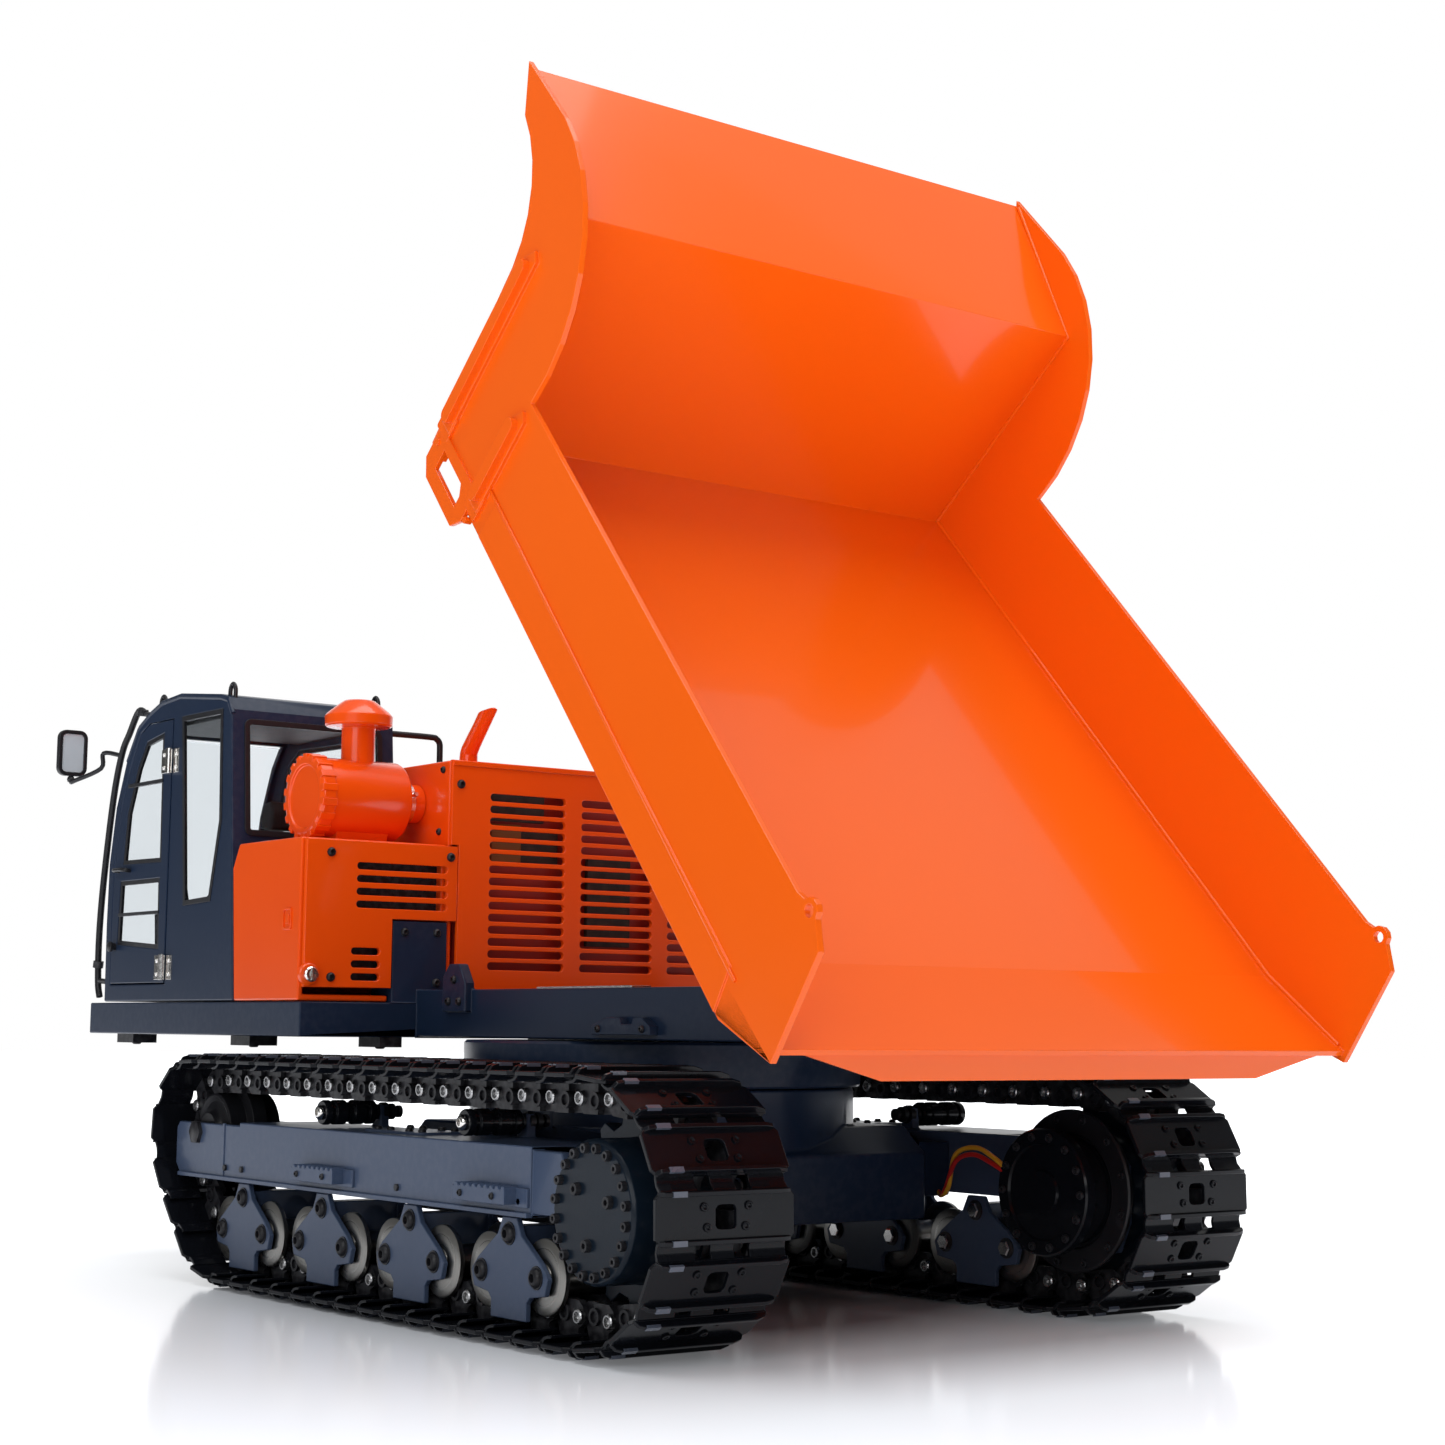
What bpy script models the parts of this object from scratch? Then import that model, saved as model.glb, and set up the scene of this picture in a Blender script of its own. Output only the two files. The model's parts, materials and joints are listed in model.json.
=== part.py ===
"""Rotating tracked dump carrier, a 1/14 scale metal working model.

All sizes are millimetres and MM turns them into Blender's metres. The machine faces -Y, +X is its
left-hand side and the ground is Z = 0. The dump bed is drawn tipped, and every moving piece hangs on an
empty, or has its own origin, on its joint's axis.
"""

import math

import bmesh
import bpy
from mathutils import Matrix, Vector

MM = 0.001
GAP = 0.3  # left between pieces that touch

# ---- tracks -------------------------------------------------------------------------------------
TRACK_X = 85.0  # centre of each track from the machine's centre line
SHOE_WIDTH = 43.0
SHOE_DEPTH = 3.2  # grouser tip to the shoe's inner face
CHAIN_DEPTH = 13.0  # grouser tip to the face that the wheels run on
RAIL_X = 6.0  # centre of each link rail from the track's centre
RAIL_WIDTH = 4.0
DRIVE_R = 37.0  # sprocket centre to grouser tip
DRIVE_Y = 130.0
IDLER_R = 26.0  # idler centre to grouser tip
IDLER_Y = -107.0
TOP_RUN = 2 * DRIVE_R
IDLER_Z = TOP_RUN - IDLER_R
ARC_STEP = 15.0  # degrees between stations on the round stretches of the belt

# ---- bottom rollers and bogies ------------------------------------------------------------------
ROLLER_TREAD_R = 4.5
ROLLER_FLANGE_R = 9.7
ROLLER_FLANGE = 2.3  # thickness of each flange
AXLE_R = 1.6
BORE_CLEARANCE = 0.35
ROLLER_Z = CHAIN_DEPTH + GAP + ROLLER_TREAD_R
TREAD_HALF = RAIL_X + RAIL_WIDTH / 2 + 0.6
ROLLER_HALF = TREAD_HALF + ROLLER_FLANGE
BOGIES = 4
BOGIE_FIRST_Y = -75.6
BOGIE_PITCH = 53.4
AXLE_SPACING = 27.6
BOGIE_PLATE = 1.7
BOGIE_PIVOT = 10.7  # above the roller axles
BOGIE_HEIGHT = 15.0
BOGIE_TAB = 12.0  # hangs this far below the axles
BOGIE_TAB_HALF = 8.9
BOGIE_INNER = ROLLER_HALF + 0.4
BOGIE_OUTER = BOGIE_INNER + BOGIE_PLATE

# ---- track frames -------------------------------------------------------------------------------
BEAM_HALF = 15.0
BEAM_BOTTOM = ROLLER_Z + BOGIE_HEIGHT + 0.6
BEAM_REAR_Y = 98.0
FORK_WALL = 2.5
FORK_REACH = 16.0  # the fork goes this far past the idler's axle
CARRIER_R = 3.8
CARRIER_Y = (-32.0, 53.0)
CARRIER_HALF = 9.0
CARRIER_Z = TOP_RUN - CHAIN_DEPTH - 0.5 - CARRIER_R
BEAM_TOP = CARRIER_Z - CARRIER_R - 0.8
MOTOR_R = 18.5
MOTOR_LENGTH = 13.7
MOTOR_SHAFT_R = 5.0
COVER_R = 18.6
COVER_FACE = 17.0  # the drive cover's face, out from the track's centre
TOOTH_TIP_R = DRIVE_R - 10.0
TOOTH_ROOT_R = DRIVE_R - 14.0
TEETH = 13
TOOTH_HALF = 2.5

# ---- car body and slew ring ---------------------------------------------------------------------
SLEW_Y = 17.5
RING_R = 62.6
CAR_TOP = TOP_RUN - 8.4
RING_TOP = TOP_RUN + 5.4
CAR_HALF = 60.0
FRAME_INNER_X = TRACK_X - BEAM_HALF

# ---- upper structure ----------------------------------------------------------------------------
DECK_Z = RING_TOP + 0.4
SILL_DEPTH = 11.0
FLOOR = DECK_Z + SILL_DEPTH  # top of the sill, which the cab and the covers stand on
BODY_X = 97.0
SILL_FRONT_Y = -208.0
BACK_Y = -42.5  # rear face of the covers
PANEL = 1.8
WALL = 2.0
CHASSIS_RAIL_X = 51.0
CHASSIS_RAIL_WIDTH = 8.0
CHASSIS_TOP = DECK_Z + 15.2
CHASSIS_REAR_Y = 166.0
BOX_HEIGHT = 52.0  # the low cover behind the cab
HOOD_HEIGHT = 80.2
HOOD_LEFT_X = 43.5
HOOD_RIGHT_X = -95.0
FRONT_COVER_HEIGHT = 45.0

# The cab's side view: (Y, height above the sill), round from the bottom of its rear wall.
CAB_RIGHT_X = 35.3
CAB_PROFILE = [
    (-90.5, 0.4), (-98.4, 98.0), (-101.5, 102.6), (-107.0, 104.0), (-139.6, 107.6), (-155.0, 106.6),
    (-165.0, 103.6), (-174.6, 99.4), (-183.4, 88.4), (-191.7, 70.5), (-196.0, 50.2), (-196.5, 29.7),
               (-195.8, 0.4),
]
DOOR_REAR_Y = -144.5
DOOR_HINGE = (98.3, -144.0)
DOOR_GAP = 0.4
DOOR_INSET = 5.0
DOOR_SWING = 100.0

# ---- dump bed, in its own frame: origin on the hinge, Y along the floor to the rear, Z square to it ------
BED_TILT = 48.5
HINGE_Y = 158.3
HINGE_Z = CHASSIS_TOP + 12.7
HINGE_PIN_R = 3.0
BED_HALF = 102.05  # at the hinge
BED_TAPER = 0.000207  # share of the half width gained per millimetre to the rear
BED_SHEET = 1.8
BED_FLOOR = 10.0
BED_FRONT_Y = -189.5
BED_TAIL_Y = 19.1
BED_SIDE_BOTTOM = 4.0
BED_SIDE_TOP = 46.0
GUARD_TOP = 108.5
GUARD_TIP_Y = -239.0
GUARD_ARC = ((-212.0, 53.6), 55.0)  # centre and radius of the guard's round rear edge
GUARD_HOLLOW = ((-235.5, 59.5), 38.2)  # the same for its hollow front edge

# ---- tipping cylinder ---------------------------------------------------------------------------
ROD_EYE = (-60.0, -2.0)  # in the bed's frame
BARREL_PIVOT = (144.0, DECK_Z + 7.2)
BARREL_R = 7.0
BARREL_LENGTH = 43.0
ROD_R = 3.0
EYE_HALF = 4.3

COLOURS = {
    "orange": ((0.83, 0.10, 0.008), 0.28, 0.0),
    "steel_blue": ((0.045, 0.055, 0.075), 0.45, 0.1),
    "black": ((0.010, 0.010, 0.012), 0.35, 0.2),
    "machined": ((0.55, 0.54, 0.52), 0.32, 1.0),
    "glass": ((0.55, 0.62, 0.66), 0.05, 0.0),
    "seat_vinyl": ((0.03, 0.03, 0.035), 0.6, 0.0),
}


# ---- shapes -------------------------------------------------------------------------------------
def prism(outline, axis, low, high):
    """An outline in the plane square to the axis, in the order X Y Z with the axis left out, made solid."""
    place = {"X": lambda a, b, t: (t, a, b), "Y": lambda a, b, t: (a, t, b), "Z": lambda a, b,
             t: (a, b, t)}[axis]
    bm = bmesh.new()
    ends = [[bm.verts.new(place(a, b, t)) for a, b in outline] for t in (low, high)]
    for end in ends:
        bm.faces.new(end)
    count = len(outline)
    for i in range(count):
        j = (i + 1) % count
        bm.faces.new((ends[0][i], ends[0][j], ends[1][j], ends[1][i]))
    return bm


def box(x, y, z):
    return prism([(y[0], z[0]), (y[1], z[0]), (y[1], z[1]), (y[0], z[1])], "X", *x)


def turned(profile, centre=(0, 0, 0), axis="X", segments=20):
    """A closed (along, radius) profile turned about the axis through the centre."""
    bm = bmesh.new()
    rings = []
    for i in range(segments):
        angle = 2 * math.pi * i / segments
        rings.append([(t, r * math.cos(angle), r * math.sin(angle)) for t, r in profile])
    order = {"X": (0, 1, 2), "Y": (2, 0, 1), "Z": (1, 2, 0)}[axis]
    made = []
    for ring in rings:
        verts = []
        for k, point in enumerate(ring):
            spot = [point[order[n]] + centre[n] for n in range(3)]
            on_axis = profile[k][1] == 0
            verts.append(made[0][k] if on_axis and made else bm.verts.new(spot))
        made.append(verts)
    count = len(profile)
    for a, b in zip(made, made[1:] + made[:1]):
        for i in range(count):
            j = (i + 1) % count
            corners = list(dict.fromkeys((a[i], a[j], b[j], b[i])))
            if len(corners) > 2:
                bm.faces.new(corners)
    return bm


def cylinder(axis, centre, radius, low, high, segments=16):
    return turned([(low, 0), (low, radius), (high, radius), (high, 0)], centre, axis, segments)


def pipe(points, radius, sides=8):
    """A solid round bar through the points, mitred at each."""
    points = [Vector(p) for p in points]
    steps = [(b - a).normalized() for a, b in zip(points, points[1:])]
    bm = bmesh.new()
    rings = []
    side = steps[0].orthogonal().normalized()
    for i, point in enumerate(points):
        before = steps[max(i - 1, 0)]
        after = steps[min(i, len(steps) - 1)]
        along = (before + after).normalized()
        side = (side - along * side.dot(along)).normalized()
        across = along.cross(side)
        stretch = 1 / max(along.dot(before), 0.5)
        bend = (after - before).normalized() if (after - before).length > 1e-6 else Vector()
        ring = []
        for k in range(sides):
            turn = 2 * math.pi * k / sides
            arm = (side * math.cos(turn) + across * math.sin(turn)) * radius
            ring.append(bm.verts.new(point + arm + bend * arm.dot(bend) * (stretch - 1)))
        rings.append(ring)
    for a, b in zip(rings, rings[1:]):
        for k in range(sides):
            n = (k + 1) % sides
            bm.faces.new((a[k], a[n], b[n], b[k]))
    bm.faces.new(rings[0])
    bm.faces.new(rings[-1])
    return bm


def arc(centre, radius, start, end, steps):
    """Points of an arc, with its ends, between two angles in degrees."""
    angles = [math.radians(start + (end - start) * i / steps) for i in range(steps + 1)]
    return [(centre[0] + radius * math.cos(a), centre[1] + radius * math.sin(a)) for a in angles]


def inset(outline, distance):
    """The outline of a convex shape moved inward, square to each edge."""
    area = sum(a[0] * b[1] - b[0] * a[1] for a, b in zip(outline, outline[1:] + outline[:1]))
    turn = 1 if area > 0 else -1
    lines = []
    for a, b in zip(outline, outline[1:] + outline[:1]):
        edge = Vector((b[0] - a[0], b[1] - a[1])).normalized()
        normal = Vector((-edge.y, edge.x)) * turn
        lines.append((Vector(a) + normal * distance, edge))
    moved = []
    for (p, d), (q, e) in zip(lines[-1:] + lines[:-1], lines):
        across = d.x * e.y - d.y * e.x
        t = ((q - p).x * e.y - (q - p).y * e.x) / across
        moved.append(tuple(p + d * t))
    return moved


def strip(points, thickness):
    """The outline of a bent sheet: the points, then the same line moved to its right by the thickness."""
    points = [Vector(p) for p in points]
    steps = [(b - a).normalized() for a, b in zip(points, points[1:])]
    far = []
    for i, point in enumerate(points):
        a, b = steps[max(i - 1, 0)], steps[min(i, len(steps) - 1)]
        normal = (Vector((a.y, -a.x)) + Vector((b.y, -b.x))).normalized()
        far.append(point + normal * thickness / normal.dot(Vector((a.y, -a.x))))
    return [tuple(p) for p in points + far[::-1]]


def shaped(base, add=(), cut=()):
    """One mesh, in metres, from a base solid with others joined on and cut away."""
    made = []
    for operation, solids in ((None, [base]), ("UNION", add), ("DIFFERENCE", cut)):
        for bm in solids:
            bmesh.ops.recalc_face_normals(bm, faces=bm.faces[:])
            bmesh.ops.scale(bm, vec=(MM, MM, MM), verts=bm.verts)
            mesh = bpy.data.meshes.new("shape")
            bm.to_mesh(mesh)
            bm.free()
            helper = bpy.data.objects.new("shape", mesh)
            bpy.context.scene.collection.objects.link(helper)
            made.append(helper)
            if operation:
                step = made[0].modifiers.new(operation.lower(), "BOOLEAN")
                step.operation = operation
                step.solver = "EXACT"
                step.object = helper
    graph = bpy.context.evaluated_depsgraph_get()
    graph.update()
    result = bpy.data.meshes.new_from_object(made[0].evaluated_get(graph))
    for helper in made:
        mesh = helper.data
        bpy.data.objects.remove(helper)
        bpy.data.meshes.remove(mesh)
    result.set_sharp_from_angle(angle=math.radians(35))
    return result


def bodies_of(bm_list):
    """Several separate solids as one cutter."""
    whole = bmesh.new()
    for bm in bm_list:
        mesh = bpy.data.meshes.new("cutter")
        bm.to_mesh(mesh)
        bm.free()
        whole.from_mesh(mesh)
        bpy.data.meshes.remove(mesh)
    return whole


# ---- scene --------------------------------------------------------------------------------------
def clear():
    for obj in list(bpy.data.objects):
        bpy.data.objects.remove(obj)


def finishes():
    made = {}
    for name, (colour, roughness, metallic) in COLOURS.items():
        made[name] = bpy.data.materials.new(name)
        made[name].use_nodes = True
        shader = made[name].node_tree.nodes["Principled BSDF"]
        shader.inputs["Base Color"].default_value = (*colour, 1)
        shader.inputs["Roughness"].default_value = roughness
        shader.inputs["Metallic"].default_value = metallic
    return made


def pivot(name, place, parent=None, turn=0.0):
    """An empty on a joint's axis, turned about X."""
    empty = bpy.data.objects.new(name, None)
    bpy.context.scene.collection.objects.link(empty)
    empty.parent = parent
    base = parent.matrix_world.copy() if parent else Matrix()
    here = Matrix.Translation(Vector(place) * MM) @ Matrix.Rotation(math.radians(turn), 4, "X")
    empty.matrix_local = base.inverted() @ here
    bpy.context.view_layer.update()
    return empty


def piece(name, mesh, finish, parent=None, place=None, turn_z=0.0, own_frame=False):
    """A named object. Its mesh is in world coordinates, unless a place or its parent's frame is given."""
    if mesh.users:
        mesh = mesh if place else mesh.copy()
    else:
        mesh.name = name
    if not mesh.materials:
        mesh.materials.append(FINISH[finish])
    obj = bpy.data.objects.new(name, mesh)
    bpy.context.scene.collection.objects.link(obj)
    if parent:
        obj.parent = parent
        if not own_frame:
            obj.matrix_parent_inverse = parent.matrix_world.inverted()
    if place:
        obj.location = Vector(place) * MM
        obj.rotation_euler.z = turn_z
    mesh.shade_smooth()
    return obj


# ---- undercarriage ------------------------------------------------------------------------------
def belt_stations():
    """(centre, outward normal, radius) round the belt: front roller, sprocket, idler."""
    front_roller = Vector((BOGIE_FIRST_Y - AXLE_SPACING / 2, ROLLER_Z))
    wheels = [
        (front_roller, ROLLER_Z),
        (Vector((DRIVE_Y, DRIVE_R)), DRIVE_R),
        (Vector((IDLER_Y, IDLER_Z)), IDLER_R),
    ]
    angles = []
    for (a, ra), (b, rb) in zip(wheels, wheels[1:] + wheels[:1]):
        along = (b - a).normalized()
        share = (ra - rb) / (b - a).length
        normal = along * share + Vector((along.y, -along.x)) * math.sqrt(1 - share * share)
        angles.append(math.degrees(math.atan2(normal.y, normal.x)) % 360)
    stations = []
    for k, (centre, radius) in enumerate(wheels):
        start, end = angles[k - 1], angles[k]
        sweep = (end - start) % 360
        steps = max(2, math.ceil(sweep / ARC_STEP))
        for i in range(steps + 1):
            angle = math.radians(start + sweep * i / steps)
            stations.append((centre, Vector((math.cos(angle), math.sin(angle))), radius))
    return stations


def belt_mesh():
    half, inner = SHOE_WIDTH / 2, RAIL_X - RAIL_WIDTH / 2
    outer = RAIL_X + RAIL_WIDTH / 2
    right = [(half, 0), (half, SHOE_DEPTH), (outer, SHOE_DEPTH), (outer, CHAIN_DEPTH), (inner, CHAIN_DEPTH),
             (inner, SHOE_DEPTH)]
    section = right + [(-x, depth) for x, depth in right[::-1]]
    bm = bmesh.new()
    rings = []
    for centre, normal, radius in belt_stations():
        spots = [(x, centre + normal * (radius - depth)) for x, depth in section]
        rings.append([bm.verts.new((x, p.x, p.y)) for x, p in spots])
    for a, b in zip(rings, rings[1:] + rings[:1]):
        for i in range(len(section)):
            j = (i + 1) % len(section)
            bm.faces.new((a[i], a[j], b[j], b[i]))
    return shaped(bm)


def roller_mesh():
    bore = AXLE_R + BORE_CLEARANCE
    half = [(ROLLER_HALF, bore), (ROLLER_HALF, ROLLER_FLANGE_R), (TREAD_HALF, ROLLER_FLANGE_R),
            (TREAD_HALF, ROLLER_TREAD_R)]
    return shaped(turned(half + [(-x, r) for x, r in half[::-1]], segments=16))


def bogie_mesh():
    """Two shield plates on a saddle block, with the two axles between them. Origin at the axles' height."""
    reach = AXLE_SPACING / 2 + 5.4
    right = [
        (3.6, BOGIE_HEIGHT), (6.0, BOGIE_HEIGHT - 4.6), (reach - 3.4, 3.6), (reach, 0.0), (reach - 1.4, -4.6),
        (BOGIE_TAB_HALF + 1.6, -5.6), (BOGIE_TAB_HALF, -7.2), (BOGIE_TAB_HALF, -BOGIE_TAB),
    ]
    outline = right + [(-y, z) for y, z in right[::-1]]
    plates = [prism(outline, "X", side * BOGIE_INNER, side * BOGIE_OUTER) for side in (1, -1)]
    lap = BOGIE_INNER + BOGIE_PLATE / 2
    axles = [cylinder("X", (0, y, 0), AXLE_R, -lap, lap, 12) for y in (-AXLE_SPACING / 2, AXLE_SPACING / 2)]
    room = AXLE_SPACING / 2 - ROLLER_FLANGE_R - 0.7
    saddle = box((-lap, lap), (-room, room), (-ROLLER_TREAD_R + 0.3, BOGIE_PIVOT + 2.0))
    return shaped(saddle, add=plates + axles)


def idler_mesh():
    bore = 2.6 + BORE_CLEARANCE
    tread = IDLER_R - CHAIN_DEPTH - 0.4
    rim = RAIL_X + RAIL_WIDTH / 2 + 0.5
    half = [(11.5, bore), (11.5, bore + 3.4), (rim, bore + 4.2), (rim, tread), (3.0, tread),
            (3.0, tread + 4.0)]
    return shaped(turned(half + [(-x, r) for x, r in half[::-1]], segments=24))


def sprocket_mesh():
    """The drive cover and the toothed ring in one, open on the inside for the motor's shaft. Origin at the
    track's centre, with the cover towards +X."""
    back = -BEAM_HALF + 3.6
    bore = MOTOR_SHAFT_R + 0.4
    hub = turned(
        [(back, bore), (back, COVER_R - 2), (back + 2, COVER_R), (COVER_FACE - 1, COVER_R),
         (COVER_FACE, COVER_R - 1), (COVER_FACE, 0), (back + 6, 0), (back + 6, bore)],
        segments=28,
    )
    outline = []
    for i in range(TEETH):
        for turn, radius in ((0.0, TOOTH_ROOT_R), (0.36, TOOTH_ROOT_R), (0.56, TOOTH_TIP_R),
                             (0.80, TOOTH_TIP_R)):
            angle = 2 * math.pi * (i + turn) / TEETH
            outline.append((radius * math.cos(angle), radius * math.sin(angle)))
    return shaped(hub, add=[prism(outline, "X", -TOOTH_HALF, TOOTH_HALF)])


def carrier_mesh():
    bore = 1.4 + BORE_CLEARANCE
    groove = CARRIER_R - 0.7
    half = [(CARRIER_HALF, bore), (CARRIER_HALF, CARRIER_R), (3.0, CARRIER_R), (3.0, groove)]
    return shaped(turned(half + [(-x, r) for x, r in half[::-1]], segments=14))


def track_frame(side):
    """Box beam with the idler's fork, the motor's plate and the carrier rollers' stub shafts."""
    def span(low, high):
        return tuple(sorted((side * (TRACK_X + low), side * (TRACK_X + high))))

    fork_root = IDLER_Y + IDLER_R + 5.0
    fork_tip = IDLER_Y - FORK_REACH
    fork_top = BEAM_TOP - 1.0
    beam = box(span(-BEAM_HALF, BEAM_HALF), (fork_root, BEAM_REAR_Y), (BEAM_BOTTOM, BEAM_TOP))
    nose = [(fork_root + 1, BEAM_BOTTOM), (fork_tip + 4, BEAM_BOTTOM), (fork_tip, BEAM_BOTTOM + 4),
            (fork_tip, fork_top - 2),
            (fork_tip + 2, fork_top), (fork_root + 1, fork_top)]
    add = [prism(nose, "X", *span(BEAM_HALF - FORK_WALL, BEAM_HALF)),
           prism(nose, "X", *span(-BEAM_HALF, FORK_WALL - BEAM_HALF))]
    add.append(cylinder("X", (0, IDLER_Y, IDLER_Z), 2.6, *span(0.5 - BEAM_HALF, BEAM_HALF - 0.5), 14))
    plate = [(BEAM_REAR_Y - 1, BEAM_BOTTOM), (BEAM_REAR_Y + 12, DRIVE_R - 17), (DRIVE_Y + 16, DRIVE_R - 17),
             (DRIVE_Y + 20, DRIVE_R - 8), (DRIVE_Y + 20, DRIVE_R + 8), (DRIVE_Y + 14, BEAM_TOP),
             (BEAM_REAR_Y - 1, BEAM_TOP)]
    add.append(prism(plate, "X", *span(-BEAM_HALF, 3.0 - BEAM_HALF)))
    near = DRIVE_Y - COVER_R - 1.0
    guard = [(BEAM_REAR_Y - 1, BEAM_BOTTOM + 1), (near, BEAM_BOTTOM + 1), (near + 0.4, DRIVE_R + 6),
             (near + 3, DRIVE_R + 11),
             (near + 1, BEAM_TOP - 1), (BEAM_REAR_Y - 1, BEAM_TOP - 1)]
    add.append(prism(guard, "X", *span(BEAM_HALF - 4.0, BEAM_HALF - 0.6)))
    for y in CARRIER_Y:
        stand = [(y - 3, BEAM_TOP - 1), (y + 3, BEAM_TOP - 1), (y + 2.2, CARRIER_Z + 2.2),
                 (y - 2.2, CARRIER_Z + 2.2)]
        add.append(prism(stand, "X", *span(-13.5, -10.5)))
        add.append(cylinder("X", (0, y, CARRIER_Z), 1.4, *span(-12, CARRIER_HALF - 0.5), 12))
    hole = cylinder("X", (0, DRIVE_Y, DRIVE_R), MOTOR_SHAFT_R + 0.5, *span(-BEAM_HALF - 2, 5 - BEAM_HALF), 16)
    return shaped(beam, add=add, cut=[hole])


def drive_motor(side):
    face = FRAME_INNER_X - GAP
    reach = TRACK_X - BEAM_HALF + 8.6
    nose = face - MOTOR_LENGTH
    profile = [(nose, 0), (nose, MOTOR_R), (nose + 4, MOTOR_R), (nose + 4, MOTOR_R - 2.5),
               (face, MOTOR_R - 2.5),
               (face, MOTOR_SHAFT_R), (reach, MOTOR_SHAFT_R), (reach, 0)]
    return shaped(turned([(side * x, r) for x, r in profile], (0, DRIVE_Y, DRIVE_R), segments=20))


def undercarriage():
    root = pivot("undercarriage_origin", (0, 0, 0))
    reach = FRAME_INNER_X - GAP
    arms = [box((-reach, reach), (y - 13, y + 13), (BEAM_BOTTOM - 1, BEAM_TOP - 3)) for y in (SLEW_Y - 45,
                                                                                              SLEW_Y + 45)]
    seat = cylinder("Z", (0, SLEW_Y, 0), RING_R - 2, BEAM_TOP - 8, CAR_TOP, 32)
    hull = [(SLEW_Y - 62, 26), (SLEW_Y + 62, 26), (SLEW_Y + 62, BEAM_TOP - 6), (SLEW_Y + 52, BEAM_TOP + 2),
            (SLEW_Y - 52, BEAM_TOP + 2), (SLEW_Y - 62, BEAM_TOP - 6)]
    piece("car_body", shaped(prism(hull, "X", -CAR_HALF + 4, CAR_HALF - 4), add=arms + [seat]), "steel_blue",
          root)
    ring_low = CAR_TOP + 0.4
    ring = [(ring_low, 0), (ring_low, RING_R), (RING_TOP, RING_R), (RING_TOP, 0)]
    piece("slew_ring", shaped(turned(ring, (0, SLEW_Y, 0), "Z", 40)), "steel_blue", root)

    belt, bogie, roller = belt_mesh(), bogie_mesh(), roller_mesh()
    idler, sprocket, carrier = idler_mesh(), sprocket_mesh(), carrier_mesh()
    for side, word in ((1, "left"), (-1, "right")):
        x = side * TRACK_X
        piece(f"track_frame_{word}", track_frame(side), "steel_blue", root)
        piece(f"drive_motor_{word}", drive_motor(side), "black", root)
        piece(f"track_belt_{word}", belt, "black", root, place=(x, 0, 0))
        turn = 0.0 if side > 0 else math.pi
        piece(f"sprocket_{word}", sprocket, "black", root, place=(x, DRIVE_Y, DRIVE_R), turn_z=turn)
        piece(f"idler_{word}", idler, "black", root, place=(x, IDLER_Y, IDLER_Z))
        for n, y in enumerate(CARRIER_Y, 1):
            piece(f"carrier_roller_{word}_{n}", carrier, "black", root, place=(x, y, CARRIER_Z))
        for n in range(BOGIES):
            y = BOGIE_FIRST_Y + n * BOGIE_PITCH
            piece(f"bogie_{word}_{n + 1}", bogie, "steel_blue", root, place=(x, y, ROLLER_Z))
            for k, shift in enumerate((-AXLE_SPACING / 2, AXLE_SPACING / 2)):
                name = f"roller_{word}_{2 * n + k + 1}"
                piece(name, roller, "machined", root, place=(x, y + shift, ROLLER_Z))


# ---- upper structure ----------------------------------------------------------------------------
def deck():
    """Sill, chassis rails and floor, with the bed's hinge ears and pin and the cylinder's bracket."""
    sill = box((-BODY_X, BODY_X), (SILL_FRONT_Y, BACK_Y), (DECK_Z, FLOOR))
    half = CHASSIS_RAIL_WIDTH / 2
    add = []
    for side in (1, -1):
        x = side * CHASSIS_RAIL_X
        add.append(box((x - half, x + half), (BACK_Y - 1, CHASSIS_REAR_Y), (DECK_Z + 0.3, CHASSIS_TOP)))
        ear = [(HINGE_Y + 8.5, CHASSIS_TOP - 2)] + arc((HINGE_Y, HINGE_Z), 6.5, -10, 190,
                                                       8) + [(HINGE_Y - 8.5, CHASSIS_TOP - 2)]
        add.append(prism(ear, "X", x - half - 1, x + half - 0.5))
        bracket = [(BARREL_PIVOT[0] + 8, DECK_Z + 2)] + arc(BARREL_PIVOT, 4.6, 0, 180,
                                                            6) + [(BARREL_PIVOT[0] - 8, DECK_Z + 2)]
        add.append(prism(bracket, "X", side * 7.6, side * 10.6))
        guide = [(BACK_Y + 20, CHASSIS_TOP - 7), (BACK_Y + 34, CHASSIS_TOP - 7),
                 (BACK_Y + 34, CHASSIS_TOP + 2),
                 (BACK_Y + 30, CHASSIS_TOP + 8), (BACK_Y + 24, CHASSIS_TOP + 8),
                 (BACK_Y + 20, CHASSIS_TOP + 4)]
        add.append(prism(guide, "X", side * (CHASSIS_RAIL_X + half - 1),
                         side * (CHASSIS_RAIL_X + half + 2.5)))
    inner = CHASSIS_RAIL_X - half + 1
    add.append(box((-inner, inner), (BACK_Y - 6, CHASSIS_REAR_Y - 8), (DECK_Z + 0.6, DECK_Z + 4.2)))
    reach = CHASSIS_RAIL_X + half + 2
    add.append(cylinder("X", (0, HINGE_Y, HINGE_Z), HINGE_PIN_R, -reach, reach, 16))
    add.append(cylinder("X", (0, *BARREL_PIVOT), 1.8, -9, 9, 12))
    corner = box((HOOD_LEFT_X + 0.6, HOOD_LEFT_X + 20.8), (BACK_Y - 14, BACK_Y - 0.4),
                 (FLOOR - 2, FLOOR + 26.4))
    add.append(corner)
    well = box((-7.2, 7.2), (HINGE_Y - 78, HINGE_Y - 6), (DECK_Z - 5, DECK_Z + 5))
    return shaped(sill, add=add, cut=[well])


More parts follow.
